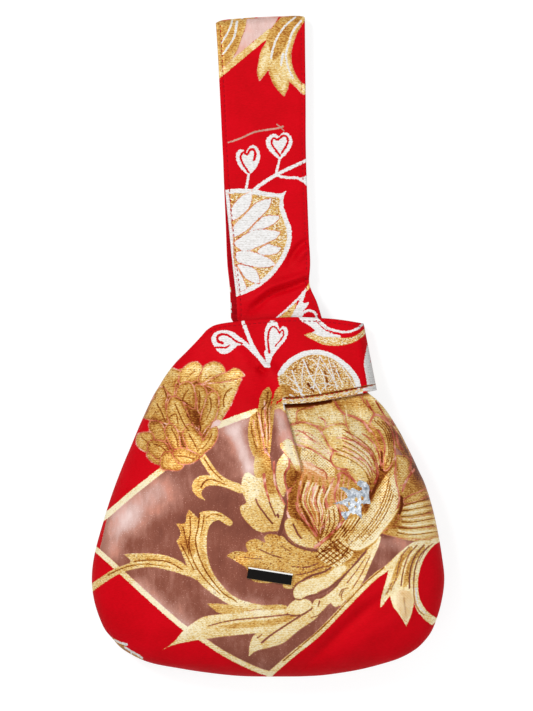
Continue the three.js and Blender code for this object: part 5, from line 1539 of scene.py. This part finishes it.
def addLights():
    # a white surround, which lights the bag less than the camera sees of it, and three lamps
    world = bpy.data.worlds.new("studio")
    bpy.context.scene.world = world
    world.use_nodes = True
    tree = world.node_tree
    background = tree.nodes["Background"]
    background.inputs["Color"].default_value = (1, 1, 1, 1)
    path = node(tree, "ShaderNodeLightPath")
    seen = calc(tree, "MAXIMUM", path.outputs["Is Camera Ray"], path.outputs["Is Transmission Ray"])
    level = node(tree, "ShaderNodeMapRange", {"Value": seen, "To Min": 0.41, "To Max": 1.0})
    tree.links.new(level.outputs["Result"], background.inputs["Strength"])
    lamps = {
        "key": {"place": (-0.9, 0.75, 1.5), "size": 0.5, "power": 19.5},
        "fill": {"place": (1.1, -0.5, 1.3), "size": 1.1, "power": 8},
        "rim": {"place": (-0.5, -1.0, 1.1), "size": 0.8, "power": 3},
    }
    for name, lamp in lamps.items():
        data = bpy.data.lights.new(name, "AREA")
        data.size = lamp["size"]
        data.energy = lamp["power"]
        light = bpy.data.objects.new(name, data)
        light.location = lamp["place"]
        light.rotation_euler = (-Vector(lamp["place"])).to_track_quat("-Z", "Y").to_euler()
        bpy.context.scene.collection.objects.link(light)


def addFloor():
    make = bmesh.new()
    bmesh.ops.create_grid(make, x_segments=1, y_segments=1, size=6)
    mesh = bpy.data.meshes.new("floor")
    make.to_mesh(mesh)
    make.free()
    floor = bpy.data.objects.new("floor", mesh)
    floor.location.z = -0.0002
    bpy.context.scene.collection.objects.link(floor)
    material = bpy.data.materials.new("floorWhite")
    material.use_nodes = True
    tree = material.node_tree
    shader = tree.nodes["Principled BSDF"]
    shader.inputs["Base Color"].default_value = (0.34, 0.34, 0.34, 1)
    shader.inputs["Roughness"].default_value = 0.9
    shader.inputs["Specular IOR Level"].default_value = 0.0
    path = node(tree, "ShaderNodeLightPath")
    seen = calc(tree, "MAXIMUM", path.outputs["Is Camera Ray"], path.outputs["Is Glossy Ray"])
    glow = node(tree, "ShaderNodeEmission", {"Strength": calc(tree, "MULTIPLY", seen, 0.78)})
    both = node(tree, "ShaderNodeAddShader", {0: shader.outputs[0], 1: glow.outputs[0]})
    tree.links.new(both.outputs[0], tree.nodes["Material Output"].inputs["Surface"])
    mesh.materials.append(material)


def addCamera():
    data = bpy.data.cameras.new("camera")
    data.sensor_width = 36
    data.lens = 36 * photo["distance"] / (photo["size"][1] * photo["pixel"])
    camera = bpy.data.objects.new("camera", data)
    centreX, centreY = toPlan(photo["size"][0] / 2, photo["size"][1] / 2)
    camera.location = (centreX, centreY, photo["seam"] + photo["distance"])
    bpy.context.scene.collection.objects.link(camera)
    bpy.context.scene.camera = camera


addCamera()
addLights()
addFloor()
bpy.context.scene.view_settings.view_transform = "Standard"
print("camera, lights and floor are in place")

brocade = brocadeMaterial()
lining = liningMaterial()
plateNode.data.materials.clear()
plateNode.data.materials.append(plateMaterial())
fine = 0.9
for handle in ("short", "long"):
    front = clothPiece(f"front_cloth_{handle}_side", handle, 1, fine, [brocade, lining])
    back = clothPiece(f"back_cloth_{handle}_side", handle, -1, 1.8, [brocade, lining])
    for piece in (front, back):
        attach(piece, "root")
    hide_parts("outer_front_panel", "lining_front")
    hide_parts("outer_back_panel", "lining_back")

stitching = threadMaterial()
for side, face in (("front", 1), ("back", -1)):
    seams = sewn(f"topstitching_{side}", face, stitching)
    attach(seams, "root")
print("the handles are topstitched")
